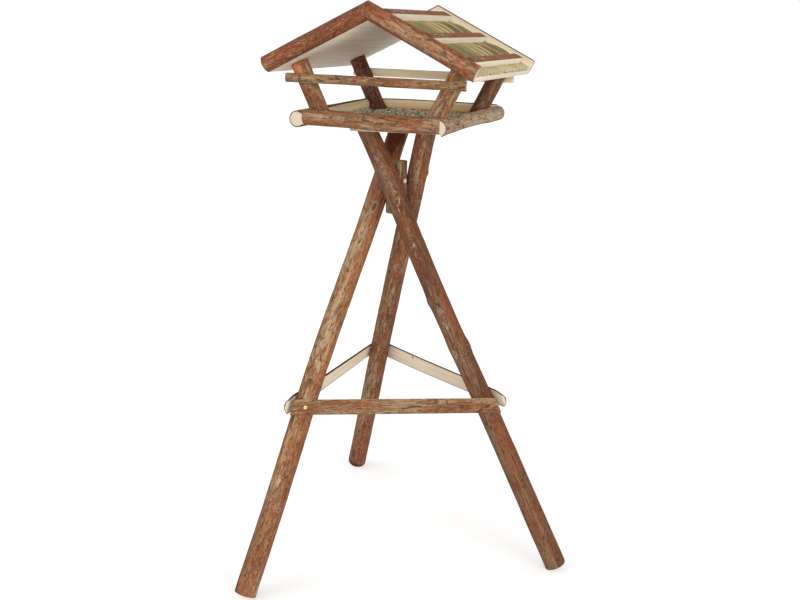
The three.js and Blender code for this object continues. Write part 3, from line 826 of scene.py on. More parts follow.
def sweep(name, section, stick, step, reshape=None, marks=(), rim_width=BARK_RIM):
    """Mesh of a section swept along a stick, with its grain coordinates, bark weight and face kinds."""
    length = stick.length()
    inner = np.linspace(0, 1, max(8, round(length / step)) + 1)
    ease = EDGE_EASE / length
    shares = np.concatenate([[ease], inner[1:-1], [1 - ease]])
    points = section.points
    centre = points.mean(0)
    reach = np.linalg.norm(points - centre, axis=1)
    whole = np.ones(len(points))
    rim = 1 - np.minimum(rim_width / reach, WIDEST_RIM)
    cap = [k * rim for k in CAP_SHARES] + [rim, 1 - EDGE_EASE / reach]
    rows = [(0.0, part) for part in cap] + [(share, whole) for share in shares]
    rows += [(1.0, part) for part in reversed(cap)]
    share = np.array([row[0] for row in rows])[:, None] * whole
    inset = np.array([row[1] for row in rows])
    u = centre[0] + (points[:, 0] - centre[0]) * inset
    v = centre[1] + (points[:, 1] - centre[1]) * inset
    if reshape is not None:
        u, v = reshape(share, u, v)
    first_side = len(CAP_SHARES) + 1
    last_side = len(rows) - first_side - 1
    side = (np.arange(len(rows)) >= first_side) & (np.arange(len(rows)) <= last_side)
    distance = np.minimum(share, 1 - share) * length
    bark = section.bark * np.clip(distance / BARK_FADE, 0, 1) * side[:, None]
    angle = np.arctan2(v - section.pith[1], u - section.pith[0])
    channels = {}
    for mark in marks:
        turn = np.abs((angle - radians(mark.angle) + pi) % (2 * pi) - pi) * reach.mean()
        away = ((share - mark.share) * length / mark.length) ** 2 + (turn / mark.width) ** 2
        bump = np.exp(-away) * side[:, None]
        channels[mark.channel] = np.maximum(channels.get(mark.channel, 0), bump)
        u = u + (u - section.pith[0]) / reach.mean() * bump * mark.height
        v = v + (v - section.pith[1]) / reach.mean() * bump * mark.height
    grid = stick.place(share, u, v)
    stock = np.stack([u - section.pith[0], v - section.pith[1], share * length], axis=-1)

    width = len(points)
    low_pole = len(rows) * width
    high_pole = low_pole + 1
    faces = []
    kinds = []
    for row in range(len(rows) - 1):
        at_rim = row in (first_side - 1, last_side)
        for column in range(width):
            after = (column + 1) % width
            a = row * width
            b = a + width
            faces.append((a + column, a + after, b + after, b + column))
            kind = section.kinds[column]
            if at_rim:
                kind = "rim" if kind == "bark" else "end"
            elif not first_side <= row < last_side:
                kind = "end"
            kinds.append(kind)
    last = (len(rows) - 1) * width
    for column in range(width):
        after = (column + 1) % width
        faces.append((low_pole, after, column))
        faces.append((high_pole, last + column, last + after))
        kinds += ["end", "end"]

    def with_poles(values):
        return np.concatenate([values.reshape(-1, 3), [values[0].mean(0)], [values[-1].mean(0)]])

    mesh = bpy.data.meshes.new(name)
    mesh.from_pydata(with_poles(grid), [], faces)
    mesh.polygons.foreach_set("material_index", [KINDS.index(kind) for kind in kinds])
    mesh.polygons.foreach_set("use_smooth", [True] * len(faces))
    write_attribute(mesh, "stock", with_poles(stock), "FLOAT_VECTOR")
    write_attribute(mesh, "bark_face", np.array([kind == "bark" for kind in kinds]), "BOOLEAN", "FACE")
    for channel, values in {"bark": bark, **channels}.items():
        write_attribute(mesh, channel, np.append(values.reshape(-1), [0, 0]))
    mesh.set_sharp_from_angle(angle=radians(SHARP_STOCK_ANGLE))
    return mesh


def write_attribute(mesh, name, values, kind="FLOAT", domain="POINT"):
    made = mesh.attributes.new(name, kind, domain)
    key = "vector" if kind == "FLOAT_VECTOR" else "value"
    made.data.foreach_set(key, np.ascontiguousarray(values).reshape(-1))


def roughness_of_bark(lump=0.0016, lump_size=0.03, ridge=0.0011, ridge_size=0.0045, furrow=0.0007):
    """Values for the relief, in metres."""
    return {
        "Lump height": lump, "Lump size": lump_size, "Ridge height": ridge, "Ridge size": ridge_size,
        "Furrow depth": furrow,
    }


ROUGH = roughness_of_bark()
FINE = roughness_of_bark(lump=0.0009, lump_size=0.018, ridge=0.0008, ridge_size=0.0035, furrow=0.0005)
SMOOTH = roughness_of_bark(lump=0.0006, lump_size=0.018, ridge=0.0004, ridge_size=0.0035, furrow=0.0002)

relief = relief_tree()
END_GRAIN = end_grain_material("Sawn end grain")
WEATHERED_END = end_grain_material("Weathered end grain", shade(164, 142, 116), shade(126, 102, 78))
BARK_EDGE = bark_edge_material("Cut bark edge")
PLANED = planed_material("Planed softwood", 1.0)


def dress(node, section, stick, bark, planed=PLANED, seed=0.0, rough=FINE, step=FINE_STEP, end=END_GRAIN,
          **shape):
    """Makes a bark-covered piece that stands for a CAD node."""
    base = sweep(node + "_base", section, stick, step, **shape)
    for material in (bark, planed, end, BARK_EDGE):
        base.materials.append(material)
    settle(node, grown(relief, {**rough, "Seed": seed, "Bark": bark}, base))


def settle(node, mesh):
    """Puts a finished mesh in the scene in place of a CAD node."""
    mesh.name = node + "_dressed"
    piece = new_object(node + "_dressed", mesh)
    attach(piece, "root")
    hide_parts(node)


# Poles


class Leg:
    """Centre line and thickness of a leg, measured on its CAD node."""

    RAYS = 32
    STATIONS = 48
    MEASURED_SHARES = (0.02, 0.96)
    BEND_DEGREE = 7
    FACET_SHARE = 0.988

    def __init__(self, side):
        self.node = "leg_" + side
        mount = next(mount for mount in frame["record"]["mounts"] if mount["name"] == "foot_" + side)
        self.foot = Vector(mount["pos_m"])
        self.along = -Vector(mount["axis"]).normalized()
        self.top_z = extent(self.node, Z_AXIS)[1]
        self.out = (-Y_AXIS).cross(self.along).cross(self.along).normalized()
        if self.out.y > 0:
            self.out = -self.out
        self.across = self.along.cross(self.out)
        self.length = (self.top_z - self.foot.z) / self.along.z
        mesh = NODES[self.node].data
        corners = [vertex.co.copy() for vertex in mesh.vertices]
        surface = BVHTree.FromPolygons(corners, [tuple(face.vertices) for face in mesh.polygons])
        shares = np.linspace(*self.MEASURED_SHARES, self.STATIONS)
        centres = []
        radii = []
        for share in shares:
            point = self.foot + self.along * (share * self.length)
            hits = []
            for turn in np.linspace(0, 2 * pi, self.RAYS, endpoint=False):
                hit = surface.ray_cast(point, self.out * cos(turn) + self.across * sin(turn))[0]
                if hit is not None:
                    away = hit - point
                    hits.append((away.dot(self.out), away.dot(self.across)))
            centre, radius = circle_through(np.array(hits))
            centres.append(centre)
            radii.append(radius)
        centres = np.array(centres)
        self.bend_u = np.polynomial.Polynomial.fit(shares, centres[:, 0], self.BEND_DEGREE)
        self.bend_v = np.polynomial.Polynomial.fit(shares, centres[:, 1], self.BEND_DEGREE)
        self.girth = np.polynomial.Polynomial.fit(shares, np.array(radii) / self.FACET_SHARE, 1)

    def bend(self, share):
        return self.bend_u(share), self.bend_v(share)

    def at_height(self, z):
        """Centre, downward direction and radius where the leg passes a height."""
        share = (z - self.foot.z) / (self.top_z - self.foot.z)
        point = self.foot + self.along * (share * self.length)
        point += self.out * float(self.bend_u(share)) + self.across * float(self.bend_v(share))
        return point, -self.along, float(self.girth(share))


LEG_BARK = {
    "right": bark_material(
        "Bark of the right leg", 11.0, 0.5, shade(130, 72, 44), shade(104, 64, 42), shade(130, 102, 76)),
    "back": bark_material("Bark of the back leg", 23.0, 0.52, shade(136, 80, 50), shade(118, 76, 50)),
    "left": bark_material(
        "Bark of the left leg", 37.0, 0.49, shade(162, 98, 58), shade(140, 94, 60), shade(178, 150, 114)),
}
# Shade marks are painted shade: at the top of the left leg, in the shadow under the tray, and at the feet of
# the back and left legs.
LEG_MARKS = {
    "right": [
        Mark("lumps", 0.525, 102, 0.014, 0.008, 0.0028), Mark("lumps", 0.519, -48, 0.02, 0.009, 0.0022),
        Mark("russet", 0.795, 10, 0.022, 0.02), Mark("russet", 0.3, 30, 0.07, 0.016),
        Mark("russet", 0.12, 10, 0.06, 0.016), Mark("lumps", 0.623, -55, 0.012, 0.008, 0.0026),
        Mark("lichen", 0.925, 10, 0.035, 0.008), Mark("lichen", 0.86, 18, 0.045, 0.009),
        Mark("lichen", 0.76, 12, 0.04, 0.007), Mark("lichen", 0.6, 8, 0.05, 0.007),
        Mark("lichen", 0.505, -18, 0.02, 0.006),
    ],
    "back": [
        Mark("lumps", 0.904, 98, 0.008, 0.006, 0.0026), Mark("russet", 0.955, -20, 0.035, 0.02),
        Mark("russet", 0.72, 10, 0.05, 0.02), Mark("russet", 0.08, 0, 0.1, 0.03),
        Mark("shade", 0.0, -20, 0.016, 0.04),
    ],
    "left": [
        Mark("knot", 0.824, 23, 0.014, 0.0065, 0.0015), Mark("shade", 0.985, 15, 0.06, 0.03),
        Mark("russet", 0.87, 20, 0.075, 0.03), Mark("russet", 0.33, 60, 0.12, 0.012),
        Mark("russet", 0.1, 10, 0.17, 0.04), Mark("shade", 0.0, -60, 0.04, 0.012),
        Mark("lichen", 0.77, 15, 0.04, 0.008), Mark("lichen", 0.6, 10, 0.08, 0.006),
        Mark("lichen", 0.49, 8, 0.07, 0.006), Mark("lichen", 0.405, 12, 0.05, 0.006),
        Mark("lichen", 0.25, 5, 0.08, 0.006), Mark("knot", 0.181, 52, 0.005, 0.0045, 0.001),
    ],
}
LEG_SWELL = 1.025
LEG_TOP_SWELL = {"right": 0.0, "back": 0.02, "left": 0.06}
legs = {side: Leg(side) for side in LEG_BARK}


def leg_taper(girth, swell):
    """Reshapes a leg's round section from its foot's radius to its girth all along."""
    def reshape(share, u, v):
        scale = LEG_SWELL * girth(share) / float(girth(0)) * (1 + swell * share ** 2)
        return u * scale, v * scale
    return reshape


for index, (side, leg) in enumerate(legs.items()):
    top = ((0, 0, leg.top_z), Z_AXIS)
    stick = Stick(leg.foot, leg.out, leg.along, (leg.foot, leg.along), top, bend=leg.bend)
    dress(leg.node, round_section(float(leg.girth(0)), POLE_STEP), stick, LEG_BARK[side], seed=3.0 * index,
          rough=ROUGH, step=POLE_STEP, marks=LEG_MARKS[side],
          reshape=leg_taper(leg.girth, LEG_TOP_SWELL[side]))

POST_TOP_LEAN = 0.06
CENTRE_BARK = bark_material(
    "Bark of the centre post", 41.0, 0.44, shade(122, 76, 46), shade(92, 62, 42), shade(160, 142, 108),
)
low_z, high_z = extent("centre_post", Z_AXIS)
low_x, high_x = extent("centre_post", X_AXIS)
low_y, high_y = extent("centre_post", Y_AXIS)
centre_radius = max(high_x - low_x, high_y - low_y) / 2
centre_middle = Vector(((low_x + high_x) / 2, (low_y + high_y) / 2, 0))
post_top = (centre_middle + Z_AXIS * high_z, Vector((0, POST_TOP_LEAN, 1)).normalized())
stick = Stick(centre_middle, -Y_AXIS, Z_AXIS, ((0, 0, low_z), Z_AXIS), post_top)
dress("centre_post", round_section(centre_radius), stick, CENTRE_BARK, seed=17.0, end=WEATHERED_END)


# Posts: square to the roof slope above them

POST_BARK = {
    "front_left": bark_material("Bark of the front left post", 51.0, 0.46),
    "front_right": bark_material("Bark of the front right post", 57.0, 0.36, grey=shade(184, 156, 122)),
    # The back left post's bark is darker: partly its own deep red-brown, partly painted shade where the roof
    # shades it.
    "back_left": bark_material(
        "Bark of the back left post", 61.0, 0.66, shade(116, 66, 44), shade(76, 42, 28)),
    "back_right": bark_material(
        "Bark of the back right post", 67.0, 0.56, shade(132, 88, 60), shade(96, 62, 42)),
}
POST_MARKS = {
    "front_left": [
        Mark("bare", 0.86, -105, 0.024, 0.013), Mark("lichen", 0.8, -52, 0.016, 0.004),
    ],
    "back_left": [
        Mark("lumps", 0.02, -159, 0.016, 0.014, 0.003), Mark("lumps", 0.02, -5, 0.014, 0.012, 0.0025),
    ],
}

for index, (place, bark) in enumerate(POST_BARK.items()):
    node = "post_" + place
    side = place.split("_")[1]
    normal = slope_normal("roof_panel_" + side)
    out = (Y_AXIS.cross(normal) if side == "left" else normal.cross(Y_AXIS)).normalized()
    across = normal.cross(out)
    radius = (extent(node, Y_AXIS)[1] - extent(node, Y_AXIS)[0]) / 2
    low_u, high_u = extent(node, out)
    origin = out * (high_u - radius if side == "left" else low_u + radius) + across * middle(node, across)
    foot_z = extent(node, Z_AXIS)[0]
    top = normal * extent(node, normal)[1]
    stick = Stick(origin, out, normal, ((0, 0, foot_z), Z_AXIS), (top, normal))
    dress(node, round_section(radius), stick, bark, seed=21.0 + 4 * index, marks=POST_MARKS.get(place, ()))


# Strips that lie along an axis: rails, slats and battens


def strip(node, out, along, bark, seed, crown=None, waney=False, width=None, bend=None, ends=None,
          **options):
    """Dresses a split pole or slab, measured on its CAD node; ends are the planes that cut it off."""
    across = along.cross(out)
    flat, top = extent(node, out)
    low_v, high_v = extent(node, across)
    width = width or high_v - low_v
    if crown is None:
        section = split_section(top - flat, width)
    else:
        section = slab_section(top - flat, width, crown, waney)
    origin = out * flat + across * ((low_v + high_v) / 2)
    low, high = ends or [(along * limit, along) for limit in extent(node, along)]
    dress(node, section, Stick(origin, out, along, low, high, bend=bend), bark, seed=seed, **options)


RAIL_BARK = {
    "left": bark_material("Bark of the left rail", 71.0),
    "right": bark_material("Bark of the right rail", 73.0, 0.3, grey=shade(184, 164, 136)),
    "front": bark_material("Bark of the front rail", 79.0, 0.44, grey=shade(172, 144, 112)),
    "back": bark_material("Bark of the back rail", 83.0),
}
# Height of the back rail's brown foot band above the floor of the seed bed.
FOOT_BAND_RISE = 0.0035
RAIL_WOOD = planed_material("Planed rail", 3.0, shade(244, 228, 196), shade(224, 198, 152), stain=0.25)
BACK_RAIL_WOOD = planed_material(
    "Planed back rail", 5.0, shade(250, 234, 196), shade(230, 204, 154), stain=0.25,
    foot_band=extent("seed_bed", Z_AXIS)[0] + FOOT_BAND_RISE - middle("rail_back", Z_AXIS),
)
LEFT_RAIL_WIDTH = 0.031
RIGHT_RAIL_WAIST = 0.24
WAIST_END = 0.85
WEAR_START = 0.01
WEAR_DEPTH = 0.012
WEAR_END = 0.12
FRONT_RAIL_SAG = 0.0022
SAG_START = 0.25
BACK_RAIL_DROP = 0.0022
DROP_END = 0.35


def front_rail_bend(share):
    """The front rail sags a little on its right half."""
    return 0 * share, FRONT_RAIL_SAG * np.sin(pi * np.clip((share - SAG_START) / (1 - SAG_START), 0, 1))


def back_rail_bend(share):
    """The back rail drops a little towards its left end."""
    return 0 * share, -BACK_RAIL_DROP * np.clip(1 - share / DROP_END, 0, 1) ** 2


def left_rail_bend(share):
    """The left rail climbs towards the back."""
    low_z, high_z = extent("rail_left", Z_AXIS)
    return 0 * share, (high_z - low_z - LEFT_RAIL_WIDTH) * (share - 0.5)


def left_rail_thickness(end):
    """Thickness of the left rail's CAD node at its front or back end."""
    points = corners_of("rail_left")
    front, back = extent("rail_left", Y_AXIS)
    limit = front if end == "front" else back
    reach = points[np.abs(points[:, 1] - limit) < END_SLACK] @ np.array(-X_AXIS)
    return float(reach.max() - extent("rail_left", -X_AXIS)[0])


LEFT_RAIL_FRONT = left_rail_thickness("front")
LEFT_RAIL_BACK = left_rail_thickness("back")


def left_rail_shape(share, u, v):
    """The left rail is split askew, so its cut moves from one thickness to another."""
    radius = LEFT_RAIL_WIDTH / 2
    from_centre = LEFT_RAIL_FRONT - radius
    to_centre = LEFT_RAIL_FRONT + (LEFT_RAIL_BACK - LEFT_RAIL_FRONT) * share - radius
    turn = np.arctan2(v, u - from_centre) * np.arccos(-to_centre / radius) / np.arccos(-from_centre / radius)
    reach = np.hypot(u - from_centre, v)
    return to_centre + reach * np.cos(turn), reach * np.sin(turn)


def right_rail_shape(share, u, v):
    """The right rail has a waist on its underside, and its lower corner is worn at the front."""
    waist = RIGHT_RAIL_WAIST * np.sin(pi * np.clip(share / WAIST_END, 0, 1))
    worn = np.clip(1 - share / WEAR_END, 0, 1) * np.clip(v - WEAR_START, 0, None)
    worn = worn * np.clip(1 - u / WEAR_DEPTH, 0, 1)
    return u + worn * 0.9, np.where(v > 0, v * (1 - waist), v) - worn * 0.3


RAIL_FORMS = {
    "left": {"bend": left_rail_bend, "reshape": left_rail_shape, "width": LEFT_RAIL_WIDTH},
    "right": {"reshape": right_rail_shape},
    "front": {"bend": front_rail_bend},
    "back": {"bend": back_rail_bend},
}
for index, (side, bark) in enumerate(RAIL_BARK.items()):
    strip("rail_" + side, OUTWARDS[side], Y_AXIS if side in ("left", "right") else X_AXIS, bark,
          31.0 + 5 * index, rough=ROUGH, planed=BACK_RAIL_WOOD if side == "back" else RAIL_WOOD,
          **RAIL_FORMS[side])

SLAT_BARK = bark_material("Bark of the slats", 89.0, 0.46)
SLAT_PLANED = planed_material("Planed slat", 7.0, shade(252, 238, 204), shade(234, 214, 168))
SLAT_CROWN = 0.0035
SLAT_MARKS = {"front": [Mark("lichen", 0.47, -8, 0.011, 0.0012)], "back": []}
for index, (end, marks) in enumerate(SLAT_MARKS.items()):
    strip("slat_" + end, OUTWARDS[end], X_AXIS, SLAT_BARK, 47.0 + 3 * index, crown=SLAT_CROWN, waney=True,
          planed=SLAT_PLANED, marks=marks)


# Roof

BARGE_BARK = {
    "front_left": bark_material(
        "Bark of the front left bargeboard", 97.0, 0.6, shade(146, 78, 46), shade(120, 70, 44)),
    "front_right": bark_material(
        "Bark of the front right bargeboard", 101.0, 0.58, shade(154, 80, 48), shade(130, 74, 46)),
    "back_left": bark_material("Bark of the back left bargeboard", 103.0),
    "back_right": bark_material("Bark of the back right bargeboard", 107.0),
}
BATTEN_BARK = bark_material("Bark of the battens", 109.0, 0.64)
BATTEN_WOOD = planed_material("Sawn batten", 19.0, shade(246, 236, 214), shade(232, 218, 190), stain=0.05)
BATTEN_CROWNS = {"ridge": 0.0014, "middle": 0.0025, "lower": 0.0025}
CROWN_FALL = 0.85
CROWN_FALL_START = 0.68


def far_taper(shoulder):
    """Reshapes a slab so that its crown of bark runs out towards the far end."""
    def reshape(share, u, v):
        part = np.clip((share - CROWN_FALL_START) / (1 - CROWN_FALL_START), 0, 1)
        part = part * part * (3 - 2 * part) * CROWN_FALL
        return np.where(u > shoulder, shoulder + (u - shoulder) * (1 - part), u), v
    return reshape


REED_WIDTH = 0.005
REED_LAYER = 0.0019
REED_WANDER = 0.02
REED_BULGE = 0.001
REED_UNEVENNESS = 0.0032
REED_SKIN = reed_material("Reed")
REED_END = reed_material("Cut reed end", end=True)
reeds = reed_tree()


def eased_board(node, planed, grain):
    """Board with softened edges, cut from a merged copy of its CAD node."""
    mesh = NODES[node].data.copy()
    mesh.materials.clear()
    carrier = new_object(node + "_carrier", mesh)
    carrier.modifiers.new("Merge", "WELD").merge_threshold = BOARD_MERGE
    flat = carrier.modifiers.new("Join faces", "DECIMATE")
    flat.decimate_type = "DISSOLVE"
    flat.angle_limit = radians(FLAT_ANGLE)
    soft = carrier.modifiers.new("Soft edges", "BEVEL")
    soft.width = BOARD_EASE
    soft.segments = 2
    soft.limit_method = "ANGLE"
    soft.angle_limit = radians(EASED_ANGLE)
    result = plain_mesh(carrier)
    result.materials.append(planed)
    places = np.array([list(vertex.co) for vertex in result.vertices])
    write_attribute(result, "stock", places @ np.array([list(axis) for axis in grain]).T, "FLOAT_VECTOR")
    result.set_sharp_from_angle(angle=radians(SHARP_BOARD_ANGLE))
    settle(node, result)


PANEL_WOOD = planed_material(
    "Roof panel", 13.0, shade(240, 226, 208), shade(226, 208, 186), stain=0.1, line=0.1,
)

for index, side in enumerate(("left", "right")):
    panel = "roof_panel_" + side
    normal = slope_normal(panel)
    down = (normal.cross(Y_AXIS) if side == "left" else Y_AXIS.cross(normal)).normalized()
    ridge_x = (extent("roof_panel_left", X_AXIS)[1] + extent("roof_panel_right", X_AXIS)[0]) / 2
    ridge_x += SEAT_GAP if side == "right" else -SEAT_GAP
    eave_point = down * extent(panel, down)[1]
    eased_board(panel, PANEL_WOOD, (normal, down, Y_AXIS))

    for end in ("front", "back"):
        strip(f"bargeboard_{end}_{side}", OUTWARDS[end], down, BARGE_BARK[f"{end}_{side}"],
              53.0 + 7 * index, rough=ROUGH, ends=[(X_AXIS * ridge_x, X_AXIS), (eave_point, down)])

    for row, (name, crown) in enumerate(BATTEN_CROWNS.items()):
        node = f"batten_{name}_{side}"
        low_n, high_n = extent(node, normal)
        strip(node, normal, Y_AXIS, BATTEN_BARK, 61.0 + 3 * row + 11 * index, crown=crown,
              planed=BATTEN_WOOD, rough=SMOOTH, reshape=far_taper(high_n - low_n - crown))

    node = "thatch_" + side
    low_y, high_y = extent(node, Y_AXIS)
    low_n = extent(node, normal)[0]
    low_d, high_d = extent(node, down)
    rows = {f"{name.title()} batten": middle(f"batten_{name}_{side}", down) - low_d for name in BATTEN_CROWNS}
    mesh = grown(reeds, {
        **rows, "Bulge": REED_BULGE, "Unevenness": REED_UNEVENNESS, "Wander": REED_WANDER,
        "Slope length": high_d - low_d, "Eave width": high_y - low_y, "Stalk width": REED_WIDTH,
        "Stalk count": int((high_y - low_y) / REED_WIDTH), "Layer height": REED_LAYER,
        "Seed": 5 + index, "Stalk": REED_SKIN, "Stalk end": REED_END,
    })
    eave_axis = Y_AXIS if down.cross(Y_AXIS).dot(normal) > 0 else -Y_AXIS
    origin = down * low_d + normal * low_n + Y_AXIS * ((low_y + high_y) / 2)
    turn = Matrix((down, eave_axis, normal)).transposed().to_4x4()
    mesh.transform(Matrix.Translation(origin) @ turn)
    settle(node, mesh)


# Tray

TRAY_WOODS = {
    "base_board": planed_material("Tray board", 17.0, shade(228, 192, 142), shade(204, 160, 108), stain=0.4),
    "mounting_plate": planed_material("Mounting plate", 31.0, shade(214, 192, 162), shade(192, 164, 128)),
}
for node, wood in TRAY_WOODS.items():
    eased_board(node, wood, (Z_AXIS, X_AXIS, Y_AXIS))

SEED_LENGTH = 0.0085
SEEDS_PER_AREA = 27000
SEED_BED_SHARE = 0.3
BARE_STRIP = 0.011
bed = NODES["seed_bed"].data.copy()
bed.materials.clear()
bed_z = extent("seed_bed", Z_AXIS)[0]
bed_front, bed_back = extent("seed_bed", Y_AXIS)
shrink = 1 - BARE_STRIP / (bed_back - bed_front)
for vertex in bed.vertices:
    vertex.co.z = bed_z + (vertex.co.z - bed_z) * SEED_BED_SHARE
    vertex.co.y = bed_front + (vertex.co.y - bed_front) * shrink
mesh = grown(seed_tree(), {
    "Seed length": SEED_LENGTH, "Seeds per area": SEEDS_PER_AREA, "Seed": 9,
    "Skin": seed_material("Loose seed"),
}, bed)
settle("seed_bed", mesh)


# Braces: slabs that lie flat on two legs each, cut off in line with them

BRACES = {
    "front": ("left", "right", 0.0305),
    "right": ("right", "back", 0.038),
    "left": ("back", "left", 0.038),
}
BRACE_CROWN = 0.0042
BRACE_WOOD = planed_material("Sawn brace", 29.0, shade(240, 226, 202), shade(222, 204, 172), stain=0.1)
BRACE_THICKNESS = 0.008
SIDE_BRACE_RIMS = {"right": (0.0036, 0.0012), "left": (0.006, 0.0012)}
BRACE_REACH = {"front": (0.0, -0.003), "right": (0.0105, 0.0), "left": (0.0, 0.0085)}
BRACE_RIM = 0.003
STUB_LENGTH = 0.035
STUB_NARROWING = 0.36
RIGHT_BRACE_CLIMB = 0.005
LEFT_BRACE_LIFT = 0.002
LEFT_BRACE_CLIMB = 0.004


def rounded_stub(share, v):
    """Rounds the corners of a side brace towards the end where share is one."""
    near = np.clip((share - 1 + STUB_LENGTH) / STUB_LENGTH, 0, 1)
    return v * (1 - STUB_NARROWING * near ** 2)


def right_brace_shape(share, u, v):
    """The right brace climbs towards the right leg, where its end is rounded."""
    return u, rounded_stub(1 - share, v) - RIGHT_BRACE_CLIMB * np.clip(1 - share / 0.6, 0, 1)


def left_brace_shape(share, u, v):
    """The left brace lies a little high, most of all past the left leg, where its end is rounded."""
    climb = LEFT_BRACE_CLIMB * np.clip((share - 0.75) / 0.25, 0, 1)
    return u, rounded_stub(share, v) - LEFT_BRACE_LIFT - climb


BRACE_SHAPE = {"right": right_brace_shape, "left": left_brace_shape}
BRACE_MARKS = {
    "front": [
        Mark("bud", 0.695, -14, 0.005, 0.0016, 0.0004), Mark("bud", 0.815, 2, 0.0055, 0.002, 0.0005),
        Mark("bud", 0.75, -9, 0.003, 0.001, 0.0003), Mark("russet", 0.83, 2, 0.012, 0.003),
    ],
    "right": [Mark("knot", 0.7, -27, 0.0025, 0.0018)],
    "left": [],
}
BRACE_BARK = {
    "front": bark_material("Bark of the front brace", 113.0, 0.49, shade(140, 84, 54)),
    "right": bark_material("Bark of the right brace", 127.0),
    "left": bark_material("Bark of the left brace", 131.0),
}

for index, (name, (first, second, width)) in enumerate(BRACES.items()):
    node = "brace_" + name
    height = middle(node, Z_AXIS)
    rise = 0.0
    for _ in range(3):
        ends = [legs[side].at_height(height - rise) for side in (first, second)]
        line = (ends[1][0] - ends[0][0]).normalized()
        normals = [down.cross(line).normalized() for _, down, _ in ends]
        seats = [point + normal * (radius + SEAT_GAP) for (point, _, radius), normal in zip(ends, normals)]
        rise = (normals[0].z + normals[1].z) / 2 * (ends[0][2] + SEAT_GAP + BRACE_THICKNESS / 2)
    line = (seats[1] - seats[0]).normalized()
    normals = [down.cross(line).normalized() for _, down, _ in ends]
    low_w, high_w = extent(node, line)
    low_w -= BRACE_REACH[name][0]
    high_w += BRACE_REACH[name][1]
    span = (seats[1] - seats[0]).length
    planes = []
    outs = []
    for (point, down, _), normal, limit in zip(ends, normals, (low_w, high_w)):
        slant = abs(down.dot(line) / down.dot(line.cross(normal)))
        sign = 1 if limit == low_w else -1
        reach = limit - seats[0].dot(line) + sign * slant * width / 2
        planes.append((seats[0] + line * reach, down.cross(normal).normalized()))
        outs.append(normals[0].lerp(normals[1], reach / span).normalized())
    stick = Stick(seats[0], outs[0], line, planes[0], planes[1], out_high=outs[1])
    if name == "front":
        section = slab_section(BRACE_THICKNESS, width, BRACE_CROWN)
    else:
        section = split_section(BRACE_THICKNESS, width, SIDE_BRACE_RIMS[name])
    dress(node, section, stick, BRACE_BARK[name], planed=BRACE_WOOD, seed=71.0 + 5 * index,
          marks=BRACE_MARKS[name], reshape=BRACE_SHAPE.get(name), rim_width=BRACE_RIM)


# Screws and pins

STEEL = screw_material("Yellow-plated steel", shade(214, 192, 158), shade(168, 142, 104), 0.5)
# Dark brown steel for the slat pins, and as painted shade on the front right brace screw, whose head lies in
# shadow.
DARK_STEEL = screw_material("Dark steel", shade(104, 78, 58), shade(62, 44, 32), 0.7)
BRIGHT_STEEL = screw_material("Bright zinc", shade(240, 232, 214), shade(190, 176, 150), 0.45, metal=0.3)
DARK_HEADED = ("slat_pin", "brace_front_screw_right")
HEAD_PROUD = {"crossing_screw_leg_left": 0.0026, "brace_front_screw_left": 0.0006}
THREAD_PITCH = 0.0018
WIDEST_SHANK = 0.6
screws = screw_tree()


def steel_for(node):
    if node.startswith(DARK_HEADED):
        return DARK_STEEL
    return BRIGHT_STEEL if node.startswith("crossing") else STEEL


for node in sorted(name for name in NODES if "screw" in name or "pin" in name):
    points = corners_of(node)
    centre = points.mean(0)
    direction = Vector(np.linalg.svd(points - centre, full_matrices=False)[2][0]).normalized()
    along = (points - centre) @ np.array(direction)
    off = np.linalg.norm(points - centre - along[:, None] * np.array(direction), axis=1)
    if along[off.argmax()] < 0:
        direction = -direction
        along = -along
    head_width = 2 * float(off.max())
    shank_width = 2 * float(np.median(off[off > head_width / 8]))
    top = Vector(centre) + direction * (float(along.max()) + HEAD_PROUD.get(node, 0.0))
    mesh = grown(screws, {
        "Length": float(along.max() - along.min()), "Head width": head_width,
        "Shank width": min(shank_width, head_width * WIDEST_SHANK), "Thread pitch": THREAD_PITCH,
        "Steel": steel_for(node),
    })
    turn = Z_AXIS.rotation_difference(direction).to_matrix().to_4x4()
    mesh.transform(Matrix.Translation(top) @ turn)
    settle(node, mesh)


# Camera, light and floor


def aim_camera():
    yaw = radians(CAMERA_YAW)
    pitch = radians(CAMERA_PITCH)
    roll = radians(CAMERA_ROLL)
    ahead = Vector((sin(yaw) * cos(pitch), cos(yaw) * cos(pitch), sin(pitch)))
    right = Vector((cos(yaw), -sin(yaw), 0))
    up = right.cross(ahead)
    rolled_right = right * cos(roll) + up * sin(roll)
    rolled_up = up * cos(roll) - right * sin(roll)
    camera = new_object("Camera", bpy.data.cameras.new("Camera"))
    camera.data.lens = CAMERA_LENS
    camera.data.sensor_width = SENSOR_WIDTH
    turn = Matrix((rolled_right, rolled_up, -ahead)).transposed().to_4x4()
    camera.matrix_world = Matrix.Translation(CAMERA_PLACE) @ turn
    bpy.context.scene.camera = camera


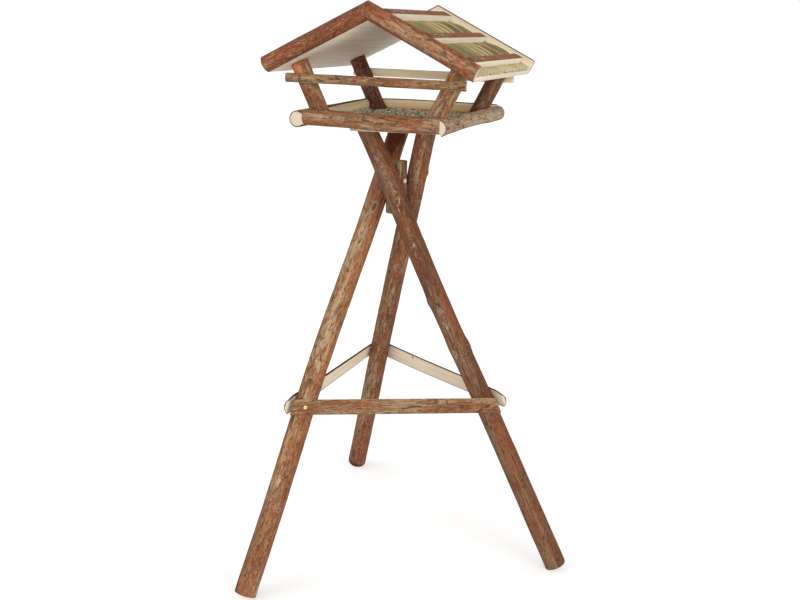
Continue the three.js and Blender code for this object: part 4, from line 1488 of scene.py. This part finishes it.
def soft_sun(name, place, strength, width):
    """Large soft lamp far away, shining from place towards the table."""
    lamp = new_object(name, bpy.data.lights.new(name, "SUN"))
    lamp.data.energy = strength
    lamp.data.angle = radians(width)
    lamp.location = place
    lamp.rotation_euler = Vector(place).to_track_quat("Z", "Y").to_euler()


def eye_rays(tree):
    """One for rays from the camera, off gloss and through glass, zero for other light."""
    path = add_node(tree, "ShaderNodeLightPath").outputs
    seen = reckoned("MAXIMUM", Wire(path["Is Camera Ray"]), Wire(path["Is Glossy Ray"]))
    return reckoned("MAXIMUM", seen, Wire(path["Is Transmission Ray"]))


def white_backdrop():
    world = bpy.data.worlds.new("Studio")
    bpy.context.scene.world = world
    world.use_nodes = True
    tree = world.node_tree
    tree.nodes.clear()
    soft = add_wire(tree, "ShaderNodeBackground", {"Color": (1, 1, 1, 1), "Strength": WORLD_LIGHT})
    white = add_wire(tree, "ShaderNodeBackground", {"Color": (1, 1, 1, 1), "Strength": 1.0})
    seen = add_wire(tree, "ShaderNodeMixShader", {0: eye_rays(tree), 1: soft, 2: white})
    add_node(tree, "ShaderNodeOutputWorld", {0: seen})


def pale_floor():
    """White floor that keeps the soft shadow under the table."""
    mesh = bpy.data.meshes.new("floor")
    half = FLOOR_SIZE / 2
    corners = [(-half, -half, 0), (half, -half, 0), (half, half, 0), (-half, half, 0)]
    mesh.from_pydata(corners, [], [(0, 1, 2, 3)])
    material, tree = new_material("Pale floor", roughness=0.9, specular=0.0)
    shader = tree.nodes["Principled BSDF"]
    shader.inputs["Base Color"].default_value = (FLOOR_PALE, FLOOR_PALE, FLOOR_PALE, 1)
    lift = add_wire(tree, "ShaderNodeEmission", {"Strength": eye_rays(tree) * FLOOR_LIFT})
    both = add_wire(tree, "ShaderNodeAddShader", {0: Wire(shader.outputs[0]), 1: lift})
    plug(tree.nodes["Material Output"].inputs["Surface"], both)
    mesh.materials.append(material)
    new_object("floor", mesh)


aim_camera()
white_backdrop()
pale_floor()
for sun in SUNS:
    soft_sun(*sun)
bpy.context.scene.view_settings.view_transform = "Standard"
